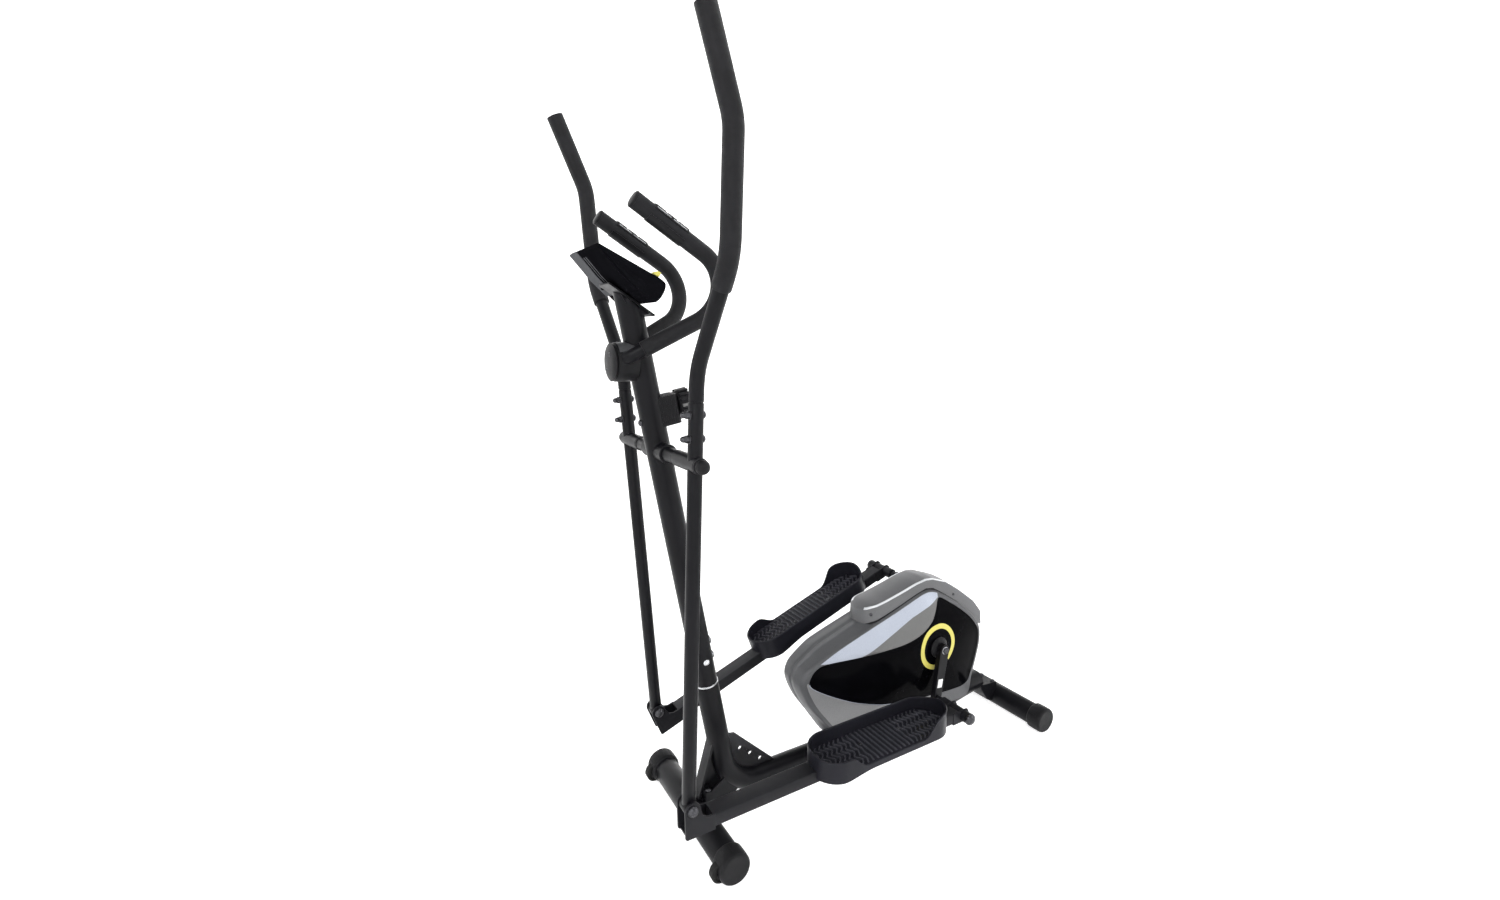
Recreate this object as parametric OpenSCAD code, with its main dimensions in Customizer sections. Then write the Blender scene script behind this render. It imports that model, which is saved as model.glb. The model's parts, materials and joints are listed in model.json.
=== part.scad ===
/* [Overall] */
// Height of the arm and post pivot above the floor
pivot_z = 872; // [820:1:920]
// Pivot's distance ahead of the middle of the machine
pivot_x = 482; // [440:1:520]
// Forward lean of the post and front upright, from vertical
post_lean = 10.6; // [6:0.1:14]
// Height of the post's top end
post_top_z = 1150; // [1100:1:1180]

/* [Stabilisers] */
// Distance of the front stabiliser ahead of the middle
front_x = 418; // [380:1:440]
// Distance of the rear stabiliser behind the middle
rear_x = 582; // [540:1:620]
// Length of the front stabiliser with its caps
front_len = 400; // [360:1:480]
// Length of the rear stabiliser with its caps
rear_len = 372; // [340:1:480]
// Radius of both stabiliser tubes
foot_r = 30; // [26:0.5:32]
// Radius of the plastic end caps that stand on the floor
cap_r = 35; // [33:0.5:38]

/* [Frame] */
// Radius of the curved main tube
main_r = 26; // [24:0.5:28]
// Height of the main tube's centre line
main_z = 61; // [58:1:66]
// Radius of the main tube's front bend
main_bend_r = 95; // [80:1:110]
// Radius of the post
post_r = 25; // [23:0.5:25]
// Wall of the tubes
tube_wall = 2; // [1.5:0.1:2.5]

/* [Linkage] */
// Crank radius
crank_r = 132; // [110:1:140]
// Height of the crank axle
crank_z = 296; // [280:1:310]
// Distance of the crank axle behind the middle
crank_x = 254; // [240:1:270]
// Angle of the left crank behind straight down at rest
crank_rest = -7.5; // [-20:0.5:20]
// Length of the swing arm from its pivot to its lower joint
arm_len = 673.5; // [650:0.5:700]
// Distance from the lower joint to the crank pin
bar_len = 744; // [730:1:760]
// Drop of the pedal bar and the crank pin below the lower joint
bar_drop = 40; // [36:1:46]
// Middle plane of the lower arm and the pedal bar, from the centre
arm_y = 170; // [166:1:175]
// Middle plane of the upper grip, from the centre
grip_y = 290; // [270:1:300]
// Radius of the arm tubes
arm_r = 14; // [12:0.5:15]
// Radius of the foam grips
grip_r = 17.5; // [17:0.5:19]

/* [Pedal] */
// Length of a pedal
pedal_len = 380; // [350:1:390]
// Width of a pedal
pedal_w = 116; // [105:1:118]
// Distance of the pedal's front end behind the lower joint
pedal_start = 290; // [280:1:330]
// Height of the pedal's wall above its tread
pedal_wall = 34; // [24:1:40]

/* [Housing] */
// Half the width of the housing at the crank
housing_half = 80; // [76:1:82]
// Half the width of the housing's front and top shoulder
shoulder_half = 54; // [48:1:60]
// Wall of the plastic housing
housing_wall = 3; // [2.5:0.5:3.5]

/* [Drive] */
// Radius of the drive pulley
pulley_r = 112; // [100:1:116]
// Radius of the flywheel
flywheel_r = 98; // [90:1:104]
// Width of the flywheel
flywheel_w = 22; // [16:1:24]
// Radius of the flywheel's small pulley
small_pulley_r = 14; // [12:0.5:18]
// Distance of the flywheel axle behind the middle
flywheel_x = 10; // [0:1:20]
// Height of the flywheel axle
flywheel_z = 262; // [255:1:270]

/* [Console] */
// Width of the console
console_w = 174; // [150:1:180]
// Slope of the console's face
console_slope = 33; // [28:1:38]
// Radius of the tension knob
knob_r = 31; // [28:1:33]

/* [Hidden] */
$fn = 48;
gap = 0.1;
fit = 0.05;
post_dir = [sin(post_lean), 0, cos(post_lean)];
function on_post(z) = [pivot_x + (z - pivot_z) * tan(post_lean), 0, z];

// Rest pose of the closed linkage, side view, as [x, z]
crank_c = [-crank_x, crank_z];
pivot_c = [pivot_x, pivot_z];
function pin_of(side) = crank_c + side * crank_r * [-sin(crank_rest), -cos(crank_rest)];
function joint_of(side) = let (
    to_pin = pin_of(side) - pivot_c,
    dist = norm(to_pin),
    along = (arm_len * arm_len - bar_len * bar_len + dist * dist) / (2 * dist),
    across = sqrt(arm_len * arm_len - along * along),
    unit = to_pin / dist
) pivot_c + along * unit + across * [-unit[1], unit[0]];
// Lean of an arm: positive swings its lower end to the rear
function arm_angle(side) = let (d = joint_of(side) - pivot_c) atan2(-d[0], -d[1]);
pin_drop = bar_drop;
pin_along = sqrt(bar_len * bar_len - pin_drop * pin_drop);
// Slope of a bar: positive lifts its rear end
function bar_angle(side) = let (d = pin_of(side) - joint_of(side))
    atan2(d[1], -d[0]) + atan2(pin_drop, pin_along);

front_half = front_len / 2;
rear_half = rear_len / 2;
cap_len = 38;
cap_face = 35.5;
knee = [pivot_x + (main_z - pivot_z) * tan(post_lean), 0, main_z];
knee_turn = 90 - post_lean;
knee_run = main_bend_r * tan(knee_turn / 2);
rim_z = 342;
spigot_z = 470;
main_end_x = -rear_x + foot_r + 6;

wheel_r = 22;
wheel_w = 18;
wheel_y = front_half - 23;
wheel_c = [front_x + 25, 0, 28];
wheel_pin_r = 4;

axle_r = 9;
axle_half = 194;
boss_r = 19;
boss_half = 50;
spacer_r = 14;
hub_r = 15.5;
hub_in = 96;
hub_out = 191;
bush_r = 12;
bush_flange_r = 15;
bush_flange_w = 3;
bush_len = 20;
seam = 0.02;

lower_top = 110;
spigot_from = 30;
upper_from = 112;
grip_from = 300;
tip = [54, grip_y - arm_y, 690];

joint_r = 5;
bar_w = 40;
bar_h = 28;
bar_in = arm_y - bar_w / 2;
clevis_t = 4;
sleeve_r = 14;
crank_arm_in = 98;
crank_arm_t = 14;
sleeve_in = crank_arm_in + crank_arm_t + 1;
sleeve_out = 208;
tread_t = 3.5 + bar_h / 2 - bar_drop;
pedal_in = 118;
pedal_mid = pedal_in + pedal_w / 2;
pedal_rim = tread_t + pedal_wall;
pedal_open = [385, 592];

crank_axle_r = 10;
bearing_r = 21;
shell_from = -17.5;
shell_len = 45.5;
belt_y = -26;
belt_w = 12;
belt_t = 2;
belt_gap = 0.45;
fly_y = 8;
magnet_gap = 3;
fork_y = [belt_y - belt_w / 2 - 12, fly_y + flywheel_w / 2 + 5];
brake_pivot = [-flywheel_x - 84, 0, flywheel_z + 86];

clamp_z = 1056;
clamp_x = 557;
clamp_r = 37;
bar_r = 12.7;
foam_r = 15.8;
handle_y = 100;
handle_path = [[clamp_x, 0, clamp_z], [clamp_x, 34, clamp_z], [428, handle_y, 1114],
    [385, handle_y, 1221], [555, handle_y, 1326]];
handle_bends = [20, 40, 45];

console_c = [546.5, 0, 1207];
tension_z = 952;

// ---------- shared shapes ----------

function unit(v) = v / norm(v);

module orient(from, z_dir, x_hint = [1, 0, 0]) {
    z = unit(z_dir);
    flat = x_hint - (x_hint * z) * z;
    x = unit(norm(flat) > 0.01 ? flat : [0, 1, 0]);
    y = cross(z, x);
    multmatrix([[x[0], y[0], z[0], from[0]], [x[1], y[1], z[1], from[1]],
        [x[2], y[2], z[2], from[2]], [0, 0, 0, 1]]) children();
}

module ring(r, hole) {
    difference() {
        circle(r);
        if (hole > 0) circle(hole);
    }
}

// A round rod or pipe from one point to another
module rod(from, to, r, hole = 0) {
    orient(from, to - from) linear_extrude(norm(to - from)) ring(r, hole);
}

// One bend of a pipe, around the corner between two unit directions
module elbow(corner, d_in, d_out, bend_r, r, hole = 0) {
    turn = acos(d_in * d_out);
    run = bend_r * tan(turn / 2);
    side = unit(d_out - (d_out * d_in) * d_in);
    centre = corner - run * d_in + bend_r * side;
    up = cross(d_in, side);
    multmatrix([[-side[0], d_in[0], up[0], centre[0]], [-side[1], d_in[1], up[1], centre[1]],
        [-side[2], d_in[2], up[2], centre[2]], [0, 0, 0, 1]])
        rotate_extrude(angle = turn) translate([bend_r, 0]) ring(r, hole);
}

function turn_run(p, i, bends) = (i == 0 || i == len(p) - 1) ? 0
    : bends[i - 1] * tan(acos(unit(p[i] - p[i - 1]) * unit(p[i + 1] - p[i])) / 2);

// A bent pipe through points, with one bend radius for each inner point
module bent_pipe(p, bends, r, hole = 0, split = seam) {
    for (i = [0 : len(p) - 2]) {
        d = unit(p[i + 1] - p[i]);
        rod(p[i] + (turn_run(p, i, bends) + split) * d, p[i + 1] - (turn_run(p, i + 1, bends) + split) * d,
            r, hole);
    }
    for (i = [1 : len(p) - 2])
        elbow(p[i], unit(p[i] - p[i - 1]), unit(p[i + 1] - p[i]), bends[i - 1], r, hole);
}

// A cylinder along the Y axis
module y_rod(x, y, z, length, r, hole = 0) {
    translate([x, y, z]) rotate([-90, 0, 0]) linear_extrude(length) ring(r, hole);
}

module y_ring_cut(x, y, z, length, r) {
    translate([x, y, z]) rotate([-90, 0, 0]) cylinder(h = length, r = r);
}

// A side-view outline, [x, z] points, as a plate from y to y + t
module side_plate(y, t, outline) {
    translate([0, y + t, 0]) rotate([90, 0, 0]) linear_extrude(t) polygon(outline);
}

module mirror_y(side) {
    if (side > 0) children();
    else mirror([0, 1, 0]) children();
}

module both_sides() {
    children();
    mirror([0, 1, 0]) children();
}

// Domed bolt head or nut along +Z, standing on the origin
module dome(r, h) {
    ball = (r * r + h * h) / (2 * h);
    intersection() {
        translate([0, 0, h - ball]) sphere(ball);
        cylinder(h = h, r = r);
    }
}

// ---------- frame ----------

module foot_saddle(x, toward) {
    difference() {
        translate([x + (toward > 0 ? foot_r - 14 : -foot_r - 6), -30, main_z - 46])
            cube([20, 60, 74]);
        translate([x, -31, cap_r]) rotate([-90, 0, 0]) cylinder(h = 62, r = foot_r + gap);
    }
}

module main_tube() {
    path = [[main_end_x, 0, main_z], knee, on_post(rim_z)];
    bent_pipe(path, [main_bend_r], main_r, main_r - tube_wall, 0);
    rod(on_post(rim_z - 40), on_post(rim_z - 0.5), main_r, post_r - tube_wall - gap - 3);
    rod(on_post(rim_z - 1), on_post(spigot_z), post_r - tube_wall - gap, post_r - tube_wall - gap - 3);
}

module knee_gusset() {
    front = on_post(192);
    difference() {
        side_plate(-2.5, 5, [[front[0] - 24, 192], [front[0] - 24, 150], [knee[0] - 50, 116],
            [knee[0] - 110, 84], [knee[0] - 134, 84]]);
        for (i = [0 : 2])
            y_ring_cut(knee[0] - 31 - 27.5 * i, -4, 148 - 23 * i, 8, 4.5);
        bend_clear();
    }
}

// The tube's own space, cut from the plates that meet it
module bend_clear() {
    path = [[main_end_x, 0, main_z], knee, on_post(rim_z)];
    bent_pipe(path, [main_bend_r], main_r - 1, 0, 0);
}

module front_bracket() {
    difference() {
        union() {
            side_plate(-2.5, 5, [[on_post(196)[0] + 20, 196], [on_post(196)[0] + 28, 196],
                [front_x - 4, cap_r + foot_r + 4], [front_x - 26, cap_r + 24], [front_x - 32, cap_r + 6],
                [knee[0] - 10, cap_r + 6], [knee[0] + 20, 110]]);
            orient([on_post(186)[0] + 24, -13, 186], [front_x - 10 - on_post(186)[0] - 24, 0, cap_r + foot_r - 180])
                translate([-2.5, 0, 0]) cube([5, 26, 126]);
            translate([knee[0] - 14, -27, cap_r + 6]) cube([front_x - 30 - knee[0] + 10, 54, 5]);
        }
        bend_clear();
        translate([front_x, -31, cap_r]) rotate([-90, 0, 0]) cylinder(h = 62, r = foot_r + gap);
    }
    foot_saddle(front_x, -1);
}

module flywheel_fork() {
    for (y = fork_y)
        difference() {
            side_plate(y, 6, [[-flywheel_x - 26, main_z + 22], [-flywheel_x + 26, main_z + 22],
                [-flywheel_x + 15, flywheel_z + 14], [-flywheel_x - 15, flywheel_z + 14]]);
            y_ring_cut(-flywheel_x, y - 1, flywheel_z, 8, 6 + fit);
        }
    translate([-flywheel_x - 26, fork_y[0], main_z + 22])
        cube([52, fork_y[1] + 6 - fork_y[0], 5]);
}

module crank_post() {
    difference() {
        union() {
            for (y = [-14, 8])
                side_plate(y, 6, [[-crank_x - 34, main_z + 20], [-crank_x + 34, main_z + 20],
                    [-crank_x + 20, crank_z - 8], [-crank_x - 20, crank_z - 8]]);
            y_rod(-crank_x, shell_from, crank_z, shell_len, 25);
        }
        y_ring_cut(-crank_x, shell_from - 1, crank_z, shell_len + 2, bearing_r + gap);
    }
}

module brake_mount() {
    side_plate(-20, 6, [[brake_pivot[0] - 4, main_z + 14], [brake_pivot[0] + 22, main_z + 14],
        [brake_pivot[0] + 10, brake_pivot[2] + 2], [brake_pivot[0] - 4, brake_pivot[2] + 2]]);
    y_rod(brake_pivot[0], -15, brake_pivot[2], 14, 4);
}

module main_frame() {
    color("#1b1b1d") {
        main_tube();
        knee_gusset();
        front_bracket();
        foot_saddle(-rear_x, 1);
        flywheel_fork();
        crank_post();
        brake_mount();
    }
}

module stabiliser(x, half) {
    color("#222224") y_rod(x, cap_face - half, cap_r, 2 * (half - cap_face), foot_r, foot_r - tube_wall);
}

module end_cap(x, half) {
    difference() {
        union() {
            translate([x, half - cap_len, cap_r]) rotate([-90, 0, 0]) cylinder(h = cap_len - 5, r = cap_r);
            translate([x, half - 5, cap_r]) rotate([-90, 0, 0]) cylinder(h = 5, r1 = cap_r, r2 = cap_r - 4);
        }
        y_ring_cut(x, half - cap_len - 1, cap_r, 1 + cap_len - cap_face + gap, foot_r + gap);
    }
    y_rod(x, half - cap_face - 22, cap_r, 23, foot_r - tube_wall - gap, foot_r - tube_wall - 4);
}

module wheel_slot() {
    y_ring_cut(wheel_c[0], wheel_y - wheel_w / 2 - 0.8, wheel_c[2], wheel_w + 1.6, wheel_r + 1.5);
    y_ring_cut(wheel_c[0], front_half - cap_face + 1, wheel_c[2], cap_face - 7.5, wheel_pin_r + gap);
}

module front_caps() {
    color("#161616") both_sides() difference() {
        end_cap(front_x, front_half);
        wheel_slot();
    }
}

module rear_caps() {
    color("#161616") both_sides() end_cap(-rear_x, rear_half);
}

module transport_wheel(side) {
    color("#0e0e0e") mirror_y(side)
        y_rod(wheel_c[0], wheel_y - wheel_w / 2, wheel_c[2], wheel_w, wheel_r, wheel_pin_r + fit);
}

module wheel_pins() {
    color("silver") both_sides()
        y_rod(wheel_c[0], front_half - cap_face + 1.1, wheel_c[2], cap_face - 7.7, wheel_pin_r);
}

module stabiliser_bolts() {
    color("#8d8f92") for (x = [front_x - foot_r + 4, -rear_x + foot_r - 4], y = [-21.5, 21.5])
        translate([x, y, main_z + 28 + gap]) dome(7.5, 5);
}

// ---------- post, handlebar and console ----------

module post() {
    color("#1c1c1f") difference() {
        rod(on_post(rim_z), on_post(post_top_z), post_r, post_r - tube_wall);
        y_ring_cut(pivot_x, -40, pivot_z, 80, axle_r + gap);
    }
}

module post_bolts() {
    back = [-cos(post_lean), 0, sin(post_lean)];
    color("#9a9c9f") difference() {
        union() {
            for (z = [400, 436]) orient(on_post(z) + (post_r - 1) * back, back) dome(7, 6);
            both_sides() orient(on_post(400) + [0, post_r - 1, 0], [0, 1, 0]) dome(7, 6);
        }
        rod(on_post(360), on_post(480), post_r + fit);
    }
}

module pivot_axle() {
    color("#1c1c1f") {
        y_rod(pivot_x, -axle_half, pivot_z, 2 * axle_half, axle_r);
        both_sides() difference() {
            union() {
                y_rod(pivot_x, 12, pivot_z, boss_half - 12, boss_r, axle_r - 1);
                y_rod(pivot_x, boss_half - 1, pivot_z, hub_in - bush_flange_w - boss_half + 0.7, spacer_r, axle_r - 1);
            }
            rod(on_post(pivot_z - 80), on_post(pivot_z + 80), post_r + gap);
        }
    }
}

module pivot_bushes() {
    color("#d8d5c8") both_sides() {
        y_rod(pivot_x, hub_in - bush_flange_w, pivot_z, bush_flange_w - 0.3, bush_flange_r, axle_r + fit);
        y_rod(pivot_x, hub_in - 0.5, pivot_z, bush_len, bush_r, axle_r + fit);
        y_rod(pivot_x, hub_out + 0.3, pivot_z, bush_flange_w - 0.3, bush_flange_r, axle_r + fit);
        y_rod(pivot_x, hub_out + 0.5 - bush_len, pivot_z, bush_len, bush_r, axle_r + fit);
    }
}

module axle_caps() {
    color("#141414") both_sides() difference() {
        translate([pivot_x, axle_half + 7, pivot_z]) sphere(12.5);
        translate([pivot_x - 30, axle_half - 20, pivot_z - 30]) cube([60, 20 + gap, 60]);
    }
}

module fixed_handlebar() {
    color("#1a1a1a") both_sides() bent_pipe(handle_path, handle_bends, bar_r, bar_r - 1.5);
}

foam_from = 0.35;
function foam_path() = concat([handle_path[1] + foam_from * (handle_path[2] - handle_path[1])],
    [for (i = [2 : 4]) handle_path[i]]);

module handlebar_foam() {
    color("#121212") both_sides()
        bent_pipe(foam_path(), [handle_bends[1], handle_bends[2]], foam_r, bar_r + gap);
}

module handlebar_plugs() {
    end = handle_path[4];
    d = unit(handle_path[4] - handle_path[3]);
    color("#101010") both_sides() orient(end + gap * d, d) {
        cylinder(h = 3, r = foam_r);
        translate([0, 0, 2.9]) dome(foam_r - 1, 3);
    }
}

// Curved contact plates on the upper straight of the fixed handlebar
module pulse_sensors() {
    end = handle_path[4];
    d = unit(handle_path[4] - handle_path[3]);
    color("#9fa3a8") both_sides() for (turn = [0, 180])
        orient(end - 96 * d, d, [0, 0, 1]) rotate(turn) rotate(-62)
            rotate_extrude(angle = 124) translate([foam_r + gap, 0]) square([1.6, 62]);
}

module clamp_cover() {
    color("#232326") difference() {
        union() {
            translate([526, 0, clamp_z - 7]) rotate([0, 90, 0]) cylinder(h = 47, r = clamp_r);
            translate([572.9, 0, clamp_z - 7]) rotate([0, 90, 0]) dome(clamp_r, 7);
        }
        translate([500, 0, clamp_z - 7]) rotate([0, 90, 0]) cylinder(h = 71, r = clamp_r - 3);
        rod(on_post(900), on_post(1200), post_r + 0.3);
        both_sides() bent_pipe([handle_path[0], handle_path[1], handle_path[2]], [handle_bends[0]], bar_r + 1.2);
        both_sides() translate([clamp_x - 40, 33, clamp_z - 14]) cube([40, 12, 28]);
    }
}

module console_place() {
    translate(console_c) rotate([0, -console_slope, 0]) children();
}

// The console's sloping top face: origin at its front edge
module console_top() {
    console_place() translate([84, 0, 1]) rotate([0, 7.1, 0]) children();
}

module console_bracket() {
    color("#1f1f22") difference() {
        union() {
            difference() {
                console_place() translate([-80, -30, -33.5]) cube([100, 60, 4]);
                rod(on_post(post_top_z - 60), on_post(post_top_z) + gap * post_dir, post_r + gap);
            }
            rod(on_post(post_top_z - 30), on_post(post_top_z + 22), post_r - tube_wall - gap);
        }
        console_place() translate([-120, -50, -29.5]) cube([220, 100, 80]);
    }
}

console_outline = [[84, -3], [84, 1], [-44, 17], [-54, 13], [-59, 2], [-57, -16], [-48, -27],
    [-38, -29.3], [30, -20]];
screen_x = [-104, -20];
button_at = [-116, 40];

module console_body() {
    color("#101114") difference() {
        console_place() translate([0, console_w / 2, 0]) rotate([90, 0, 0])
            linear_extrude(console_w) polygon(console_outline);
        console_top() translate([screen_x[0], -62, -3]) cube([screen_x[1] - screen_x[0], 124, 20]);
        console_top() translate([button_at[0], button_at[1], -8]) cylinder(h = 30, r = 6 + 0.35);
    }
}

module console_screen() {
    color("#2b3a30") console_top() translate([screen_x[0] + gap, -62 + gap, -3 + gap])
        cube([screen_x[1] - screen_x[0] - 2 * gap, 124 - 2 * gap, 2.4]);
}

module mode_button() {
    color("#d8b23a") console_top() translate([button_at[0], button_at[1], -6]) cylinder(h = 8.5, r = 6);
}

// ---------- tension control ----------

module tension_place() {
    translate(on_post(tension_z)) rotate([0, post_lean, 0]) children();
}

module tension_housing() {
    color("#1d1d22") tension_place() difference() {
        translate([-54, -22, -34]) cube([54, 44, 59]);
        translate([0, 0, -40]) cylinder(h = 80, r = post_r + gap);
        translate([-50, -18, -30]) cube([14, 36, 51]);
        translate([-60, 0, 0]) rotate([0, 90, 0]) cylinder(h = 16, r = 7 + fit);
    }
}

module tension_knob() {
    color("#17171a") tension_place() rotate([0, -90, 0]) {
        translate([0, 0, 38]) cylinder(h = 20, r = 7);
        translate([0, 0, 54.6]) difference() {
            cylinder(h = 27, r = knob_r);
            for (a = [0 : 15 : 345]) rotate(a) translate([knob_r + 1.4, 0, -1]) cylinder(h = 29, r = 2.6, $fn = 16);
        }
    }
}

// ---------- housing ----------

shell_outline = [[158, 309], [150, 325], [113, 342], [24, 380], [-69, 410], [-199, 450], [-232, 452],
    [-286, 430], [-380, 364], [-441, 300], [-415, 163], [-402, 112], [-380, 92], [20, 92], [48, 110],
    [82, 169], [118, 223], [135, 262]];

function shrink(outline, by, centre) = [for (p = outline) let (d = p - centre) p - by * d / norm(d)];
shell_mid = [-130, 270];
flank_rise = 46;
module shell_solid(inset, start) {
    outer = shrink(shell_outline, inset, shell_mid);
    inner = shrink(shell_outline, flank_rise + inset, shell_mid);
    hull() {
        side_plate(start, shoulder_half - inset - 14 - start, outer);
        side_plate(start, shoulder_half - inset - start, shrink(outer, 12, shell_mid));
        side_plate(start, housing_half - inset - start, inner);
    }
}

module shell_half() {
    difference() {
        shell_solid(0, 0.15);
        shell_solid(housing_wall, -1);
        y_ring_cut(-crank_x, 40, crank_z, 60, 22);
        translate([-500, -1, main_z - 40]) cube([700, 47, main_r + 56]);
        panel_space();
    }
}

panel_outline = [[120, 290], [66, 246], [15, 222], [-75, 190], [-120, 180], [-296, 160], [-370, 168],
    [-400, 240], [-404, 300], [-360, 340], [-286, 395], [-235, 398], [-130, 376], [-30, 326], [40, 312]];
panel_t = 2.4;
module panel_space() {
    side_plate(housing_half - panel_t - 0.1, panel_t + 2, shrink(panel_outline, 12.7, shell_mid));
}

module housing_left() {
    color("#6f6f70") difference() {
        shell_half();
        cover_clear();
    }
}

module housing_right() {
    color("#6f6f70") mirror([0, 1, 0]) difference() {
        shell_half();
        cover_clear();
    }
}

module side_panel(side) {
    color("#101012") mirror_y(side) difference() {
        side_plate(housing_half - panel_t, panel_t, shrink(panel_outline, 13, shell_mid));
        y_ring_cut(-crank_x, 60, crank_z, 60, 22);
    }
}

cover_outline = [[-30, 394], [-32, 422], [-58, 436], [-206, 468], [-238, 473], [-311, 455], [-422, 374],
    [-447, 340], [-444, 306]];
cover_under = [[-436, 306], [-375, 362], [-284, 424], [-231, 446], [-200, 444], [-70, 404]];
cover_half = 46;
cover_depth = 12;
module cover_band(inset, wide) {
    translate([0, wide, 0]) rotate([90, 0, 0]) linear_extrude(2 * wide)
        polygon(concat(shrink(cover_outline, inset, shell_mid),
            shrink(cover_under, cover_depth + abs(inset), shell_mid)));
}
module cover_clear() {
    for (drop = [0, 0.4]) translate([drop, 0, -drop]) cover_band(-0.3, cover_half + 0.3);
}

module housing_cover() {
    color("#58585a") difference() {
        cover_band(0, cover_half);
        cover_band(housing_wall, cover_half - housing_wall);
    }
}

module housing_screws() {
    color("#0c0c0c") both_sides() for (p = [[-60, 418], [-330, 420]])
        orient([p[0], cover_half, p[1]], [0, 1, 0]) cylinder(h = 2, r = 4);
}

// ---------- drive ----------

module crank_bearings() {
    color("#b9bcc0") for (y = [-17, 14])
        y_rod(-crank_x, y, crank_z, 13, bearing_r, crank_axle_r + fit);
}

module crank_axle() {
    color("#a8abb0") y_rod(-crank_x, -crank_arm_in - crank_arm_t - 3, crank_z,
        2 * (crank_arm_in + crank_arm_t + 3), crank_axle_r);
}

module crank_arm(side) {
    pin = pin_of(side);
    color("#161618") mirror_y(side) difference() {
        hull() for (c = [crank_c, pin])
            translate([c[0], crank_arm_in, c[1]]) rotate([-90, 0, 0])
                cylinder(h = crank_arm_t, r = c == pin ? 17 : 20, $fn = 32);
        y_ring_cut(-crank_x, crank_arm_in - 1, crank_z, crank_arm_t + 2, crank_axle_r + gap);
    }
}

module crank_discs() {
    color("#18181a") both_sides()
        y_rod(-crank_x, crank_arm_in - 3.4, crank_z, 3, 30, crank_axle_r + gap);
}

module drive_pulley() {
    color("#1e1e20") difference() {
        union() {
            y_rod(-crank_x, belt_y - belt_w / 2 - 2, crank_z, belt_w + 4, pulley_r, crank_axle_r + gap);
            y_rod(-crank_x, belt_y - belt_w / 2 - 12, crank_z, 11, 26, crank_axle_r + gap);
        }
        for (a = [0 : 60 : 300]) rotate_about_crank(a)
            translate([pulley_r * 0.58, 0, 0]) rotate([-90, 0, 0])
                translate([0, 0, belt_y - 20]) cylinder(h = 40, r = 24);
        translate([-crank_x, belt_y - belt_w / 2, crank_z]) rotate([-90, 0, 0]) linear_extrude(belt_w)
            ring(pulley_r + 5, pulley_r - belt_t);
    }
}

module rotate_about_crank(a) {
    translate([-crank_x, 0, crank_z]) rotate([0, a, 0]) children();
}

module flywheel() {
    color("#8b8d90") {
        y_rod(-flywheel_x, fly_y - flywheel_w / 2, flywheel_z, flywheel_w, flywheel_r, flywheel_r - 26);
        y_rod(-flywheel_x, fly_y - 4, flywheel_z, 8, flywheel_r - 25, 16);
        y_rod(-flywheel_x, fly_y - flywheel_w / 2 - 2, flywheel_z, flywheel_w + 4, 22, 6 + 0.06);
        y_rod(-flywheel_x, belt_y - belt_w / 2 - 2, flywheel_z, fly_y - flywheel_w / 2 - belt_y + belt_w / 2 + 1,
            9, 6 + 0.06);
    }
}

module flywheel_pulley() {
    color("#a3a6aa") y_rod(-flywheel_x, belt_y - belt_w / 2, flywheel_z, belt_w, small_pulley_r - belt_t, 9 + gap);
}

module flywheel_axle() {
    color("#c0c2c5") y_rod(-flywheel_x, fork_y[0] - 4, flywheel_z, fork_y[1] - fork_y[0] + 14, 6);
}

// Flat belt around both pulleys, a running gap off their faces
module belt_loop(r_off) {
    hull() {
        translate([-crank_x, crank_z]) circle(pulley_r + r_off, $fn = 96);
        translate([-flywheel_x, flywheel_z]) circle(small_pulley_r + r_off, $fn = 96);
    }
}

module drive_belt() {
    color("#0f0f0f") translate([0, belt_y + belt_w / 2 - 1, 0]) rotate([90, 0, 0])
        linear_extrude(belt_w - 2) difference() {
            belt_loop(belt_gap);
            belt_loop(belt_gap - belt_t);
        }
}

module brake_arc(r_in, r_out, from, to, y, w) {
    translate([-flywheel_x, y + w, flywheel_z]) rotate([90, 0, 0]) rotate(from)
        rotate_extrude(angle = to - from) translate([r_in, 0]) square([r_out - r_in, w]);
}

brake_in = flywheel_r + magnet_gap + 6;
module magnet_bracket() {
    color("#7d8084") {
        difference() {
            union() {
                brake_arc(brake_in, brake_in + 4, 78, 136, fly_y - 12, 24);
                hull() for (p = [[brake_pivot[0], brake_pivot[2]], [-flywheel_x + (brake_in + 2) * cos(132),
                    flywheel_z + (brake_in + 2) * sin(132)]])
                    translate([p[0], -10, p[1]]) rotate([-90, 0, 0]) cylinder(h = 6.2, r = 8, $fn = 32);
            }
            y_ring_cut(brake_pivot[0], -12, brake_pivot[2], 10, 4 + fit);
        }
    }
}

module brake_magnets() {
    color("#c9ccd0") for (a = [84 : 16 : 116])
        brake_arc(flywheel_r + magnet_gap, brake_in - 3 * gap, a, a + 9, fly_y - 9, 18);
}

// ---------- arms ----------

module arm_place(side) {
    translate([pivot_x, 0, pivot_z]) rotate([0, arm_angle(side), 0]) mirror_y(side)
        translate([0, arm_y, 0]) children();
}

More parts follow.
